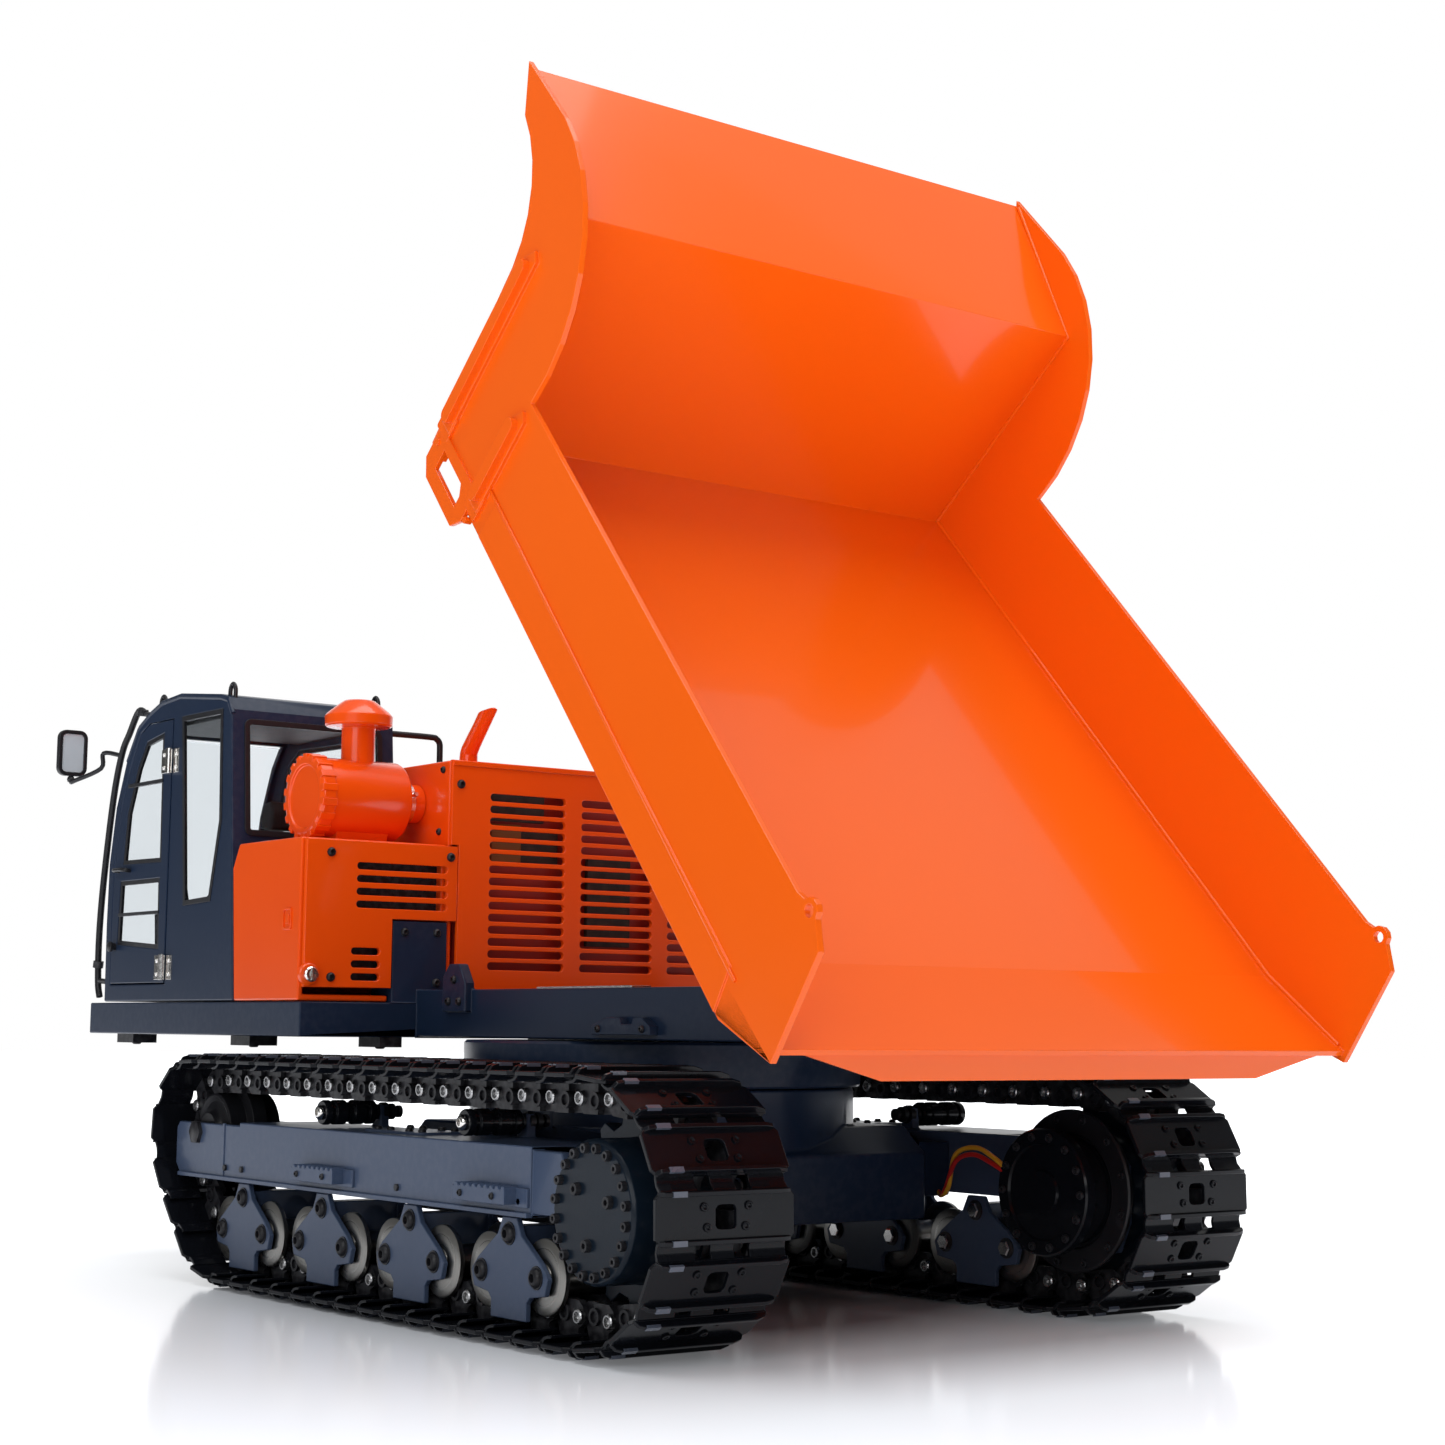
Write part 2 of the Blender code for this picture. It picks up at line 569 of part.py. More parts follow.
def side_cover():
    """The low cover behind the cab: a shell open to the rear, where its panel closes it."""
    def front(height):
        return cab_rear(height) + 0.6

    low, high = FLOOR + GAP, FLOOR + BOX_HEIGHT
    rear = BACK_Y - PANEL - GAP
    outline = [(front(GAP), low), (front(BOX_HEIGHT) + 0.5, high - 8), (front(BOX_HEIGHT) + 5, high),
               (rear, high), (rear, low)]
    hollow = [(front(GAP) + WALL, low + WALL), (front(BOX_HEIGHT) + WALL + 0.5, high - 9),
              (front(BOX_HEIGHT) + 7, high - WALL),
              (rear + 5, high - WALL), (rear + 5, low + WALL)]
    left, right = BODY_X, HOOD_LEFT_X + GAP + 0.1
    notch = box((right - 2, HOOD_LEFT_X + 21.2), (BACK_Y - 14.4, BACK_Y + 2), (low - 2, FLOOR + 26.8))
    return shaped(prism(outline, "X", right, left),
                  cut=[prism(hollow, "X", right + WALL, left - WALL), notch])


def side_panel():
    """The low cover's rear panel, with its louvres, cut round the dark corner box."""
    left, right = BODY_X - 1.0, HOOD_LEFT_X - 2.6
    low, high = CHASSIS_TOP + 0.4, FLOOR + BOX_HEIGHT - 0.6
    step_x, step_z = HOOD_LEFT_X + 21.2, FLOOR + 26.8
    outline = [(left, low), (left, high), (right, high), (right, step_z), (step_x, step_z), (step_x, low)]
    slots = [box((left - 51.4, left - 18.0), (BACK_Y - 5, BACK_Y + 3), (z - 1.1, z + 1.1))
             for z in (high - 7.9 - 4.1 * n for n in range(4))]
    slots += [box((left - 27.0, left - 16.6), (BACK_Y - 5, BACK_Y + 3), (z - 1.1, z + 1.1))
              for z in (low + 3.4 + 4.1 * n for n in range(3))]
    return shaped(prism(outline, "Y", BACK_Y - PANEL, BACK_Y), cut=[bodies_of(slots)])


def engine_hood():
    """Hood and the right-hand front cover as one shell, open to the rear behind the grille."""
    low, high, rear = FLOOR + GAP, FLOOR + HOOD_HEIGHT, BACK_Y - PANEL - GAP
    neck_y = cab_rear(GAP) + 0.6
    main = box((HOOD_RIGHT_X, HOOD_LEFT_X), (neck_y, rear), (low, high))
    beside = CAB_RIGHT_X - 0.5
    add = [
        box((HOOD_RIGHT_X, beside), (-112.0, neck_y + 2), (low, high)),
        box((HOOD_RIGHT_X, beside - 2), (SILL_FRONT_Y + 16, -110.0), (low, FLOOR + FRONT_COVER_HEIGHT)),
    ]
    inner = (HOOD_RIGHT_X + WALL, HOOD_LEFT_X - WALL)
    cut = [
        box(inner, (neck_y + WALL, rear + 5), (low + WALL, high - WALL)),
        box((inner[0], beside - WALL), (-110.0, neck_y + 5), (low + WALL, high - WALL)),
        box((inner[0], beside - 2 - WALL), (SILL_FRONT_Y + 18, -105.0),
            (low + WALL, FLOOR + FRONT_COVER_HEIGHT - WALL)),
    ]
    return shaped(main, add=add, cut=cut)


def rear_grille():
    """The hood's rear panel: three columns of fifteen louvres."""
    low, high, mid = CHASSIS_TOP + 0.4, FLOOR + HOOD_HEIGHT, FLOOR + BOX_HEIGHT
    left, step = HOOD_LEFT_X, HOOD_LEFT_X - 3.0
    outline = [(HOOD_RIGHT_X, low), (step, low), (step, mid), (left, mid), (left, high), (HOOD_RIGHT_X, high)]
    pitch = (HOOD_HEIGHT - 24.1) / 14
    slots = []
    for column in range(3):
        x = left - 14.8 - 36.5 * column
        for row in range(15):
            z = high - 11.6 - pitch * row
            slots.append(box((x - 30.0, x), (BACK_Y - 5, BACK_Y + 3), (z - 1.0, z + 1.0)))
    return shaped(prism(outline, "Y", BACK_Y - PANEL, BACK_Y), cut=[bodies_of(slots)])


def cab_rear(height):
    """Y of the cab's rear wall at a height above the sill."""
    (y0, z0), (y1, z1) = CAB_PROFILE[0], CAB_PROFILE[1]
    return y0 + (y1 - y0) * (height - z0) / (z1 - z0)


def cab_front(height):
    """Y of the windscreen line at a height above the sill."""
    line = CAB_PROFILE[6:]
    for (y0, z0), (y1, z1) in zip(line, line[1:]):
        if z1 <= height <= z0:
            return y0 + (y1 - y0) * (height - z0) / (z1 - z0)
    return line[-1][0]


def cab_outline(distance=0.0):
    return [(y, z + FLOOR) for y, z in (inset(CAB_PROFILE, distance) if distance else CAB_PROFILE)]


def door_outline(shrink):
    """The door opening, moved inward by shrink: square at the hinge, and following the cab's front."""
    low, high = 6.4 + shrink, CAB_PROFILE[4][1] - 8.4 - shrink
    front = [(cab_front(h) + DOOR_INSET + shrink, h) for h in (low, 29.7, 50.2, 70.5, 85.0)]
    rear = DOOR_REAR_Y - shrink
    top = [(front[-1][0] + 7.6, high - 3.0), (front[-1][0] + 16.0, high)]
    return [(y, z + FLOOR) for y, z in [(rear, low)] + front + top + [(rear, high)]]


def cab_shell():
    body = prism(cab_outline(), "X", CAB_RIGHT_X, BODY_X)
    room = prism(cab_outline(WALL), "X", CAB_RIGHT_X + WALL, BODY_X - WALL)
    left, right = (BODY_X - 5, BODY_X + 5), (CAB_RIGHT_X - 5, CAB_RIGHT_X + 5)
    quarter = [(cab_rear(94) - 7, 98.5), (cab_rear(60) - 8, 60.8), (cab_rear(33) - 17, 34.0), (-131.0, 33.2),
               (-137.0, 98.8)]
    far_side = [(cab_rear(90) - 9, 93), (cab_rear(56) - 9, 56), (cab_front(56) + 9, 56),
                (cab_front(88) + 9, 88), (-165.0, 94.0)]
    cut = [
        room,
        prism(door_outline(0.0), "X", *left),
        prism([(y, z + FLOOR) for y, z in quarter], "X", *left),
        prism([(y, z + FLOOR) for y, z in far_side], "X", *right),
        box((CAB_RIGHT_X + 5.7, BODY_X - 5.7), (cab_rear(70) - 12, cab_rear(70) + 12),
            (FLOOR + 56.5, FLOOR + 94.0)),
        box((CAB_RIGHT_X + 4.0, BODY_X - 4.0), (CAB_PROFILE[11][0] - 20, -163.0),
            (FLOOR + 12.0, FLOOR + 96.0)),
    ]
    return shaped(body, cut=cut)


def windscreen():
    heights = [12.5, 29.7, 50.2, 70.5, 88.4, 95.4]
    outer = [(cab_front(h) + 0.5, FLOOR + h) for h in heights]
    inner = [(cab_front(h) + 1.5, FLOOR + h) for h in heights[::-1]]
    return shaped(prism(outer + inner, "X", CAB_RIGHT_X + 4.4, BODY_X - 4.4))


def cab_door():
    skin = prism(door_outline(DOOR_GAP), "X", BODY_X - 1.8, BODY_X + 0.2)
    upper = [(-151.4, 94.6), (-166.0, 92.6), (-173.0, 84.0), (-180.6, 68.0), (-183.2, 49.5), (-150.4, 49.0)]
    lower = [(-151.0, 43.4), (-184.6, 43.4), (-185.8, 20.8), (-150.0, 18.5)]
    panes = [prism([(y, z + FLOOR) for y, z in pane], "X", BODY_X - 5, BODY_X + 5) for pane in (upper, lower)]
    knuckles = []
    inner, outer, edge = BODY_X - 0.6, BODY_X + 1.4, DOOR_HINGE[1]
    leaf = [(inner, edge - 5), (outer, edge - 5), (outer, edge + 0.4), (BODY_X + 0.5, edge + 0.4),
            (BODY_X + 0.5, edge - 0.9),
            (inner, edge - 0.9)]
    for h in (12.0, 84.0):
        knuckles.append(cylinder("Z", (*DOOR_HINGE, 0), 1.2, FLOOR + h - 4, FLOOR + h + 4, 10))
        knuckles.append(prism(leaf, "Z", FLOOR + h - 4, FLOOR + h + 4))
    return shaped(skin, add=knuckles, cut=panes)


def seat():
    floor = FLOOR + 0.4 + WALL + GAP
    outline = [(-146, 0), (-126, 0), (-126, 10), (-120, 12), (-113, 54), (-112.5, 66), (-117.5, 67),
               (-120.5, 55),
               (-128, 18), (-149, 20), (-152, 15), (-150, 11), (-146, 10)]
    return shaped(prism([(y, z + floor) for y, z in outline], "X", 53, 79))


def console():
    floor = FLOOR + 0.4 + WALL + GAP
    desk = [(-166, 0), (-138, 0), (-136, 22), (-150, 24), (-166, 20)]
    base = prism([(y, z + floor) for y, z in desk], "X", 83, 91)
    add = []
    for y in (-160.0, -154.0):
        add.append(cylinder("Z", (87, y, floor), 0.9, 18, 32, 8))
        add.append(turned([(31, 0), (31, 1.6), (33, 2.0), (35, 1.4), (35, 0)], (87, y, floor), "Z", 10))
    return shaped(base, add=add)


def air_cleaner():
    """Drum on its saddle, duct to the hood, neck and rain cap."""
    y, z = BACK_Y - 23.5, FLOOR + BOX_HEIGHT + 14.8
    radius, left, right = 13.3, HOOD_LEFT_X + 42.5, HOOD_LEFT_X + 8.5
    drum = turned([(right, 0), (right, radius - 0.8), (right + 0.8, radius), (left - 4.4, radius),
                   (left - 4.2, radius + 0.6),
                   (left - 0.6, radius + 0.6), (left, radius - 0.4), (left, 0)], (0, y, z), "X", 28)
    neck_x = HOOD_LEFT_X + 22.8
    cap = [(radius - 4, 0), (radius - 4, 6.3), (24.9, 6.3), (24.9, 11.4), (26.0, 12.6), (29.0, 12.6),
           (33.4, 5.4), (33.4, 0)]
    add = [
        turned(cap, (neck_x, y, z), "Z", 24),
        cylinder("X", (0, y, z), 6.5, HOOD_LEFT_X + GAP, right + 2, 16),
        box((right + 6, left - 8), (y - 6, y + 6), (FLOOR + BOX_HEIGHT + GAP, z - 8)),
    ]
    return shaped(drum, add=add)


def exhaust():
    x, y, z = HOOD_LEFT_X - 23.5, BACK_Y - 29.5, FLOOR + HOOD_HEIGHT
    return shaped(pipe([(x, y, z + GAP), (x, y, z + 6.5), (x, y + 2.6, z + 11), (x, y + 13, z + 21)], 3.3,
                       14))


def handrail():
    x, y, z = CAB_RIGHT_X - 0.5, BACK_Y - 58, FLOOR + HOOD_HEIGHT
    far = x - 20
    points = [(x, y, z + 14.5), (far + 2, y, z + 14.5), (far + 0.6, y, z + 13.9), (far, y, z + 12.5),
              (far, y, z + GAP)]
    return shaped(pipe(points, 1.1, 8))


MIRROR = (103.5, -219.5, FLOOR + 84.0)  # foot of the mirror, on its swivel


def grab_rail():
    """Bowed rail in front of the cab's left corner, with the mirror's arm."""
    x = BODY_X - 1.5
    line = [(-171.5, 103.6), (-178.0, 105.0), (-185.5, 97.6), (-191.6, 90.8), (-197.7, 75.0), (-203.7, 45.5),
            (-206.0, 24.7), (-205.4, 8.0), (-203.5, 2.2)]
    rail = pipe([(x, y, z + FLOOR) for y, z in line], 1.7, 8)
    mx, my, mz = MIRROR
    arm = [(x, -191.6, FLOOR + 90.0), (x + 2.8, -202.0, FLOOR + 91.5), (x + 3.0, -203.0, FLOOR + 86.0),
           (mx, my + 3.5, mz - 2.2), (mx, my + 0.6, mz - 2.2), (mx, my, mz - 1.6), (mx, my, mz - GAP)]
    return shaped(rail, add=[pipe(arm, 0.9, 8)])


def mirror():
    x, y, z = MIRROR
    outline = [(x - 4.0, z), (x + 4.0, z), (x + 5.6, z + 1.6), (x + 5.6, z + 15.6), (x + 4.0, z + 17.2),
               (x - 4.0, z + 17.2),
               (x - 5.6, z + 15.6), (x - 5.6, z + 1.6)]
    return shaped(prism(outline, "Y", y - 1.6, y + 1.6))


def battery():
    low = FLOOR + GAP + WALL + GAP
    return shaped(box((-80, -28), (-84, -58), (low, low + 30)))


def hydraulic_pump():
    low = FLOOR + GAP + WALL + GAP
    body = turned([(-14, 0), (-14, 9), (-6, 9), (-6, 12), (22, 12), (22, 0)], (0, -70, low + 13), "X", 20)
    return shaped(body, add=[box((-4, 20), (-80, -60), (low, low + 6))])


# ---- dump bed -----------------------------------------------------------------------------------
def side_outline():
    """The bed's side plate with its guard, from the front of the bottom edge round by the rear."""
    (cy, cz), radius = GUARD_ARC
    (hy, hz), hollow = GUARD_HOLLOW
    meet = math.degrees(math.asin((BED_SIDE_TOP - cz) / radius))
    rear = arc(GUARD_ARC[0], radius, meet, 86, 9)
    front = arc(GUARD_HOLLOW[0], hollow, 78.5, 8, 6)
    lug = arc((37.3, BED_SIDE_TOP + 0.4), 3.2, 10, 170, 5)
    return (
        [(BED_FRONT_Y - 4.3, BED_SIDE_BOTTOM), (33.2, BED_SIDE_BOTTOM + 0.2), (54.6, 13.2),
         (47.0, BED_SIDE_TOP - 3.0)]
        + lug + [(31.0, BED_SIDE_TOP)] + rear + [(GUARD_TIP_Y, GUARD_TOP)] + front
    )


def dump_bed():
    inner = BED_HALF - BED_SHEET
    tub_line = [(GUARD_TIP_Y + 1.5, GUARD_TOP - 1.2), (BED_FRONT_Y + 4.2, BED_FLOOR + 81.4),
                (BED_FRONT_Y, BED_FLOOR),
                (BED_TAIL_Y, BED_FLOOR), (52.4, BED_FLOOR + 5.7)]
    tub = prism(strip(tub_line, BED_SHEET), "X", -inner - 0.6, inner + 0.6)
    add, cut = [], []
    outline = side_outline()
    for side in (1, -1):
        add.append(prism(outline, "X", side * inner, side * BED_HALF))
        proud = BED_HALF + 1.3
        for low, high, bottom, top in ((-193.0, -186.0, 13.0, 74.0), (-161.5, -154.5, 8.5, 41.0)):
            bar = [(low, bottom), (high, bottom), (high, top), (high - 3, top + 2), (low + 1, top - 2)]
            add.append(prism(bar, "X", side * (inner + 0.5), side * proud))
        loop = [(-192.0, 12.0), (-192.0, 0.0), (-187.0, -4.0), (-164.0, -4.0), (-160.0, 1.0), (-160.0, 12.0)]
        add.append(prism(loop, "X", side * (BED_HALF - 0.7), side * (BED_HALF + 0.9)))
        skirt = [(-149.0, BED_SIDE_BOTTOM + 0.5), (31.0, BED_SIDE_BOTTOM + 0.5), (27.0, 16.4), (-149.0, 16.4)]
        add.append(prism(skirt, "X", side * (BED_HALF - 0.7), side * (BED_HALF + 0.6)))
        add.append(box(sorted((side * 31, side * 37)), (BED_FRONT_Y + 10, -9), (-3, BED_FLOOR - 0.9)))
        ear = [(7.0, BED_FLOOR - 0.9)] + arc((0, 0), 6.3, 20, -200, 9) + [(-7.0, BED_FLOOR - 0.9)]
        add.append(prism(ear, "X", side * (CHASSIS_RAIL_X - 13), side * (CHASSIS_RAIL_X - 6.4)))
        cut.append(cylinder("X", (0, 0, 0), HINGE_PIN_R + 0.4, side * (CHASSIS_RAIL_X - 15),
                            side * (CHASSIS_RAIL_X - 4), 16))
        lug = [(ROD_EYE[0] + 8, BED_FLOOR - 0.9)] + arc(ROD_EYE, 4.2, 0, -180,
                                                        6) + [(ROD_EYE[0] - 8, BED_FLOOR - 0.9)]
        add.append(prism(lug, "X", side * (EYE_HALF + 0.9), side * (EYE_HALF + 3.6)))
        loop_hole = [(-184.6, 8.0), (-184.6, 1.2), (-166.6, 1.2), (-166.6, 5.0), (-169.0, 8.0)]
        cut.append(prism(loop_hole, "X", side * (BED_HALF + 6), side * (BED_HALF - 6)))
        cut.append(cylinder("X", (0, 37.3, BED_SIDE_TOP + 0.4), 1.6, side * (BED_HALF + 6),
                            side * (BED_HALF - 6), 10))
    add.append(tail_lip(inner))
    mesh = shaped(tub, add=add, cut=cut)
    for vert in mesh.vertices:
        vert.co.x *= 1 + BED_TAPER * vert.co.y / MM
    return mesh


def tail_lip(inner):
    """The folded-down edge of the tail, shorter along its lower edge."""
    top, foot = Vector((51.0, BED_FLOOR + 5.2)), Vector((56.2, BED_FLOOR - 1.4))
    back = (foot - top).normalized()
    normal = Vector((back.y, -back.x)) * BED_SHEET
    bm = bmesh.new()
    corners = []
    for half, spot in ((inner - 1.2, top), (66.5, foot)):
        for layer in (Vector((0, 0)), normal):
            corners.append([bm.verts.new((side * half, *(spot + layer))) for side in (1, -1)])
    near_top, far_top, near_foot, far_foot = corners
    for a, b, c, d in ((near_top, near_foot, far_foot, far_top),):
        bm.faces.new((a[0], b[0], c[0], d[0]))
        bm.faces.new((a[1], b[1], c[1], d[1]))
    for a, b in ((near_top, near_foot), (near_foot, far_foot), (far_foot, far_top), (far_top, near_top)):
        bm.faces.new((a[0], a[1], b[1], b[0]))
    return bm


def bed_to_world(y, z):
    tilt = math.radians(BED_TILT)
    return Vector((HINGE_Y + y * math.cos(tilt) + z * math.sin(tilt),
                   HINGE_Z - y * math.sin(tilt) + z * math.cos(tilt)))


def cylinder_meshes():
    """Barrel and rod, drawn along +Z from the barrel's pivot, as turned pieces with an eye at each end."""
    reach = (bed_to_world(*ROD_EYE) - Vector(BARREL_PIVOT)).length
    bore = ROD_R + 0.4
    tube = turned([(5, 0), (5, BARREL_R), (BARREL_LENGTH - 3, BARREL_R), (BARREL_LENGTH - 3, BARREL_R + 0.8),
                   (BARREL_LENGTH, BARREL_R + 0.8), (BARREL_LENGTH, bore), (8, bore), (8, 0)], (0, 0, 0), "Z",
                   20)
    foot = cylinder("X", (0, 0, 0), 5.2, -6.6, 6.6, 16)
    barrel = shaped(foot, add=[tube], cut=[cylinder("X", (0, 0, 0), 1.8 + BORE_CLEARANCE, -9, 9, 12)])
    rod = shaped(cylinder("Z", (0, 0, 0), ROD_R, reach - 40.5, reach - 3, 16),
                 add=[cylinder("X", (0, 0, reach), 5.0, -EYE_HALF, EYE_HALF, 18)])
    return barrel, rod


def upper_structure():
    slew = pivot("slew_axis", (0, SLEW_Y, DECK_Z))
    for name, make, finish in (
        ("deck", deck, "steel_blue"), ("side_cover", side_cover, "orange"),
                               ("side_panel", side_panel, "orange"),
        ("engine_hood", engine_hood, "orange"), ("rear_grille", rear_grille, "orange"),
                               ("cab_shell", cab_shell, "steel_blue"),
        ("windscreen", windscreen, "glass"), ("seat", seat, "seat_vinyl"), ("console", console, "black"),
        ("air_cleaner", air_cleaner, "orange"), ("exhaust", exhaust, "orange"),
                               ("handrail", handrail, "black"),
        ("grab_rail", grab_rail, "black"), ("battery", battery, "black"),
                               ("hydraulic_pump", hydraulic_pump, "machined"),
    ):
        piece(name, make(), finish, slew)
    door_axis = pivot("door_hinge_axis", (*DOOR_HINGE, FLOOR), slew)
    piece("cab_door", cab_door(), "steel_blue", door_axis)
    mirror_axis = pivot("mirror_swivel_axis", MIRROR, slew)
    piece("mirror", mirror(), "black", mirror_axis)
    bed_axis = pivot("bed_hinge_axis", (0, HINGE_Y, HINGE_Z), slew, -BED_TILT)
    piece("dump_bed", dump_bed(), "orange", bed_axis, own_frame=True)
    barrel, rod = cylinder_meshes()
    aim = bed_to_world(*ROD_EYE) - Vector(BARREL_PIVOT)
    lean = math.degrees(math.atan2(-aim.x, aim.y))
    barrel_axis = pivot("cylinder_pivot_axis", (0, *BARREL_PIVOT), slew, lean)
    piece("cylinder_barrel", barrel, "black", barrel_axis, own_frame=True)
    piece("cylinder_rod", rod, "machined", barrel_axis, own_frame=True)


clear()
FINISH = finishes()
undercarriage()
upper_structure()
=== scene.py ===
"""Looks for a rotating tracked dump carrier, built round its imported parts.

Sizes are in millimetres in the shared frame: +X is the machine's left, -Y its front, Z = 0 the ground.
"""

import json
import math

import bmesh
import bpy
from mathutils import Matrix, Vector

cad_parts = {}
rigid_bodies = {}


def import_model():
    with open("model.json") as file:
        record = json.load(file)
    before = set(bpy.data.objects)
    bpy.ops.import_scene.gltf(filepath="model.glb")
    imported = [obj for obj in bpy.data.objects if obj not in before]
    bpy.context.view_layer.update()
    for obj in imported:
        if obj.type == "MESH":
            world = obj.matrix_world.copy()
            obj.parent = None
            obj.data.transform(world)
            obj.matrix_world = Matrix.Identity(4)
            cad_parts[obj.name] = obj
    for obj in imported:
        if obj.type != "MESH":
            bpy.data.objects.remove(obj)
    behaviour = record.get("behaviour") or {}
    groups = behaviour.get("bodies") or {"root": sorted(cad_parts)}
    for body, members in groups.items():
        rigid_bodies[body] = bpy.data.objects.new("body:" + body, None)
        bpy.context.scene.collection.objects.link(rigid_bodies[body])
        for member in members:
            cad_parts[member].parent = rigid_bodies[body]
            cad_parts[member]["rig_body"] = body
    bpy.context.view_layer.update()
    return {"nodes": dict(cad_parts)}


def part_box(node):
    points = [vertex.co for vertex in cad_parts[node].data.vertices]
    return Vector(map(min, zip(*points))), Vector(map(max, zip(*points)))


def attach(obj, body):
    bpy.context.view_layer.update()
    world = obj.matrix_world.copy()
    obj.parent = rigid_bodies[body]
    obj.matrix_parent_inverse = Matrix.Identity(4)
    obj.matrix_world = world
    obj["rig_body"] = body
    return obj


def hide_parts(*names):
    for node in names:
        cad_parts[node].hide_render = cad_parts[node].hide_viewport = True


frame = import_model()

MM = 0.001
NODES = frame["nodes"]


def box_mm(node):
    low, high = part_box(node)
    return low / MM, high / MM


def middle(node):
    low, high = box_mm(node)
    return (low + high) / 2


# Anchors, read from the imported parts
CAB_LOW, CAB_HIGH = box_mm("cab_shell")
HOOD_LOW, HOOD_HIGH = box_mm("engine_hood")
DECK_LOW = box_mm("deck")[0]
PANEL_LOW, PANEL_HIGH = box_mm("side_panel")
COVER_HIGH = box_mm("side_cover")[1]
FLOOR = CAB_LOW.z - 0.4  # top of the sill
BACK_Y = PANEL_HIGH.y  # rear face of the covers
BODY_X = CAB_HIGH.x
TRACK_X = middle("track_belt_left").x
TRACK_TOP = box_mm("track_belt_left")[1].z
DRIVE_R = TRACK_TOP / 2
FRAME_LOW, FRAME_HIGH = box_mm("track_frame_left")
FRAME_REAR, FRAME_TOP = 98.0, 51.5  # rear end and top face of each track frame's beam
FRONT_TOP = FLOOR + 45.0  # top of the low cover in front of the hood
BOX_TOP = FLOOR + 52.0  # top of the low cover behind the cab
HINGE = (158.3, 107.7)  # the bed's pin, in Y and Z
BED_TILT = math.radians(48.5)
BED_HALF = 102.05  # half the bed's width at its pin
BED_TAPER = 0.000207  # share of that gained for each millimetre to the rear
SIDES = ((1, "left"), (-1, "right"))
PLANE = {"X": (2, 0, 1), "Y": (0, 2, 1), "Z": (0, 1, 2)}  # where an outline's numbers and its depth go


# ---- solids -------------------------------------------------------------------------------------
def prism(outline, axis, low, high):
    """An outline in the plane square to the axis, given in the order X Y Z without the axis, made solid."""
    order = PLANE[axis]
    bm = bmesh.new()
    ends = []
    for t in (low, high):
        ends.append([bm.verts.new([(a, b, t)[k] for k in order]) for a, b in outline])
    for end in ends:
        bm.faces.new(end)
    for i in range(len(outline)):
        j = (i + 1) % len(outline)
        bm.faces.new((ends[0][i], ends[0][j], ends[1][j], ends[1][i]))
    return bm


def block(x, y, z):
    return prism([(y[0], z[0]), (y[1], z[0]), (y[1], z[1]), (y[0], z[1])], "X", *x)


def basis(axis):
    """A rotation that takes +X to the axis."""
    return Vector(axis).to_track_quat("X", "Z").to_matrix().to_4x4()


def turned(profile, centre=(0, 0, 0), axis=(1, 0, 0), segments=32):
    """A closed (along, radius) profile turned about the axis through the centre."""
    bm = bmesh.new()
    place = Matrix.Translation(centre) @ basis(axis)
    poles = {}
    rings = []
    for i in range(segments):
        angle = 2 * math.pi * i / segments
        ring = []
        for k, (along, radius) in enumerate(profile):
            if radius == 0 and k in poles:
                ring.append(poles[k])
                continue
            vert = bm.verts.new(place @ Vector((along, radius * math.cos(angle), radius * math.sin(angle))))
            if radius == 0:
                poles[k] = vert
            ring.append(vert)
        rings.append(ring)
    for a, b in zip(rings, rings[1:] + rings[:1]):
        for i in range(len(profile)):
            j = (i + 1) % len(profile)
            corners = list(dict.fromkeys((a[i], a[j], b[j], b[i])))
            if len(corners) > 2:
                bm.faces.new(corners)
    return bm


def smooth_path(points, steps=6):
    """Points of a curve through the given points."""
    spots = [Vector(p) for p in points]
    spots = [2 * spots[0] - spots[1]] + spots + [2 * spots[-1] - spots[-2]]
    path = []
    for a, b, c, d in zip(spots, spots[1:], spots[2:], spots[3:]):
        for k in range(steps):
            t = k / steps
            square, cube = 2 * a - 5 * b + 4 * c - d, 3 * b - a - 3 * c + d
            path.append(0.5 * (2 * b + (c - a) * t + square * t**2 + cube * t**3))
    return path + [spots[-2]]


def pipe(points, radius, sides=12, radius_end=None):
    """A solid round bar along the points, tapering if it has another radius at its end."""
    points = [Vector(p) for p in points]
    bm = bmesh.new()
    rings = []
    side = (points[1] - points[0]).orthogonal().normalized()
    for i, point in enumerate(points):
        along = (points[min(i + 1, len(points) - 1)] - points[max(i - 1, 0)]).normalized()
        side = (side - along * side.dot(along)).normalized()
        across = along.cross(side)
        share = i / (len(points) - 1)
        reach = radius + ((radius_end or radius) - radius) * share
        turn = [2 * math.pi * k / sides for k in range(sides)]
        spots = [point + (side * math.cos(a) + across * math.sin(a)) * reach for a in turn]
        rings.append([bm.verts.new(spot) for spot in spots])
    for a, b in zip(rings, rings[1:]):
        for k in range(sides):
            n = (k + 1) % sides
            bm.faces.new((a[k], a[n], b[n], b[k]))
    bm.faces.new(rings[0])
    bm.faces.new(rings[-1])
    return bm


def holed(outer, inner, axis, low, high):
    """A plate with a hole. Both outlines have the same number of corners, in step."""
    order = PLANE[axis]
    bm = bmesh.new()
    loops = []
    for outline in (outer, inner):
        for t in (low, high):
            loops.append([bm.verts.new([(a, b, t)[k] for k in order]) for a, b in outline])
    out_low, out_high, in_low, in_high = loops
    for i in range(len(outer)):
        j = (i + 1) % len(outer)
        for a, b in ((out_low, in_low), (out_high, in_high), (out_low, out_high), (in_low, in_high)):
            bm.faces.new((a[i], a[j], b[j], b[i]))
    return bm


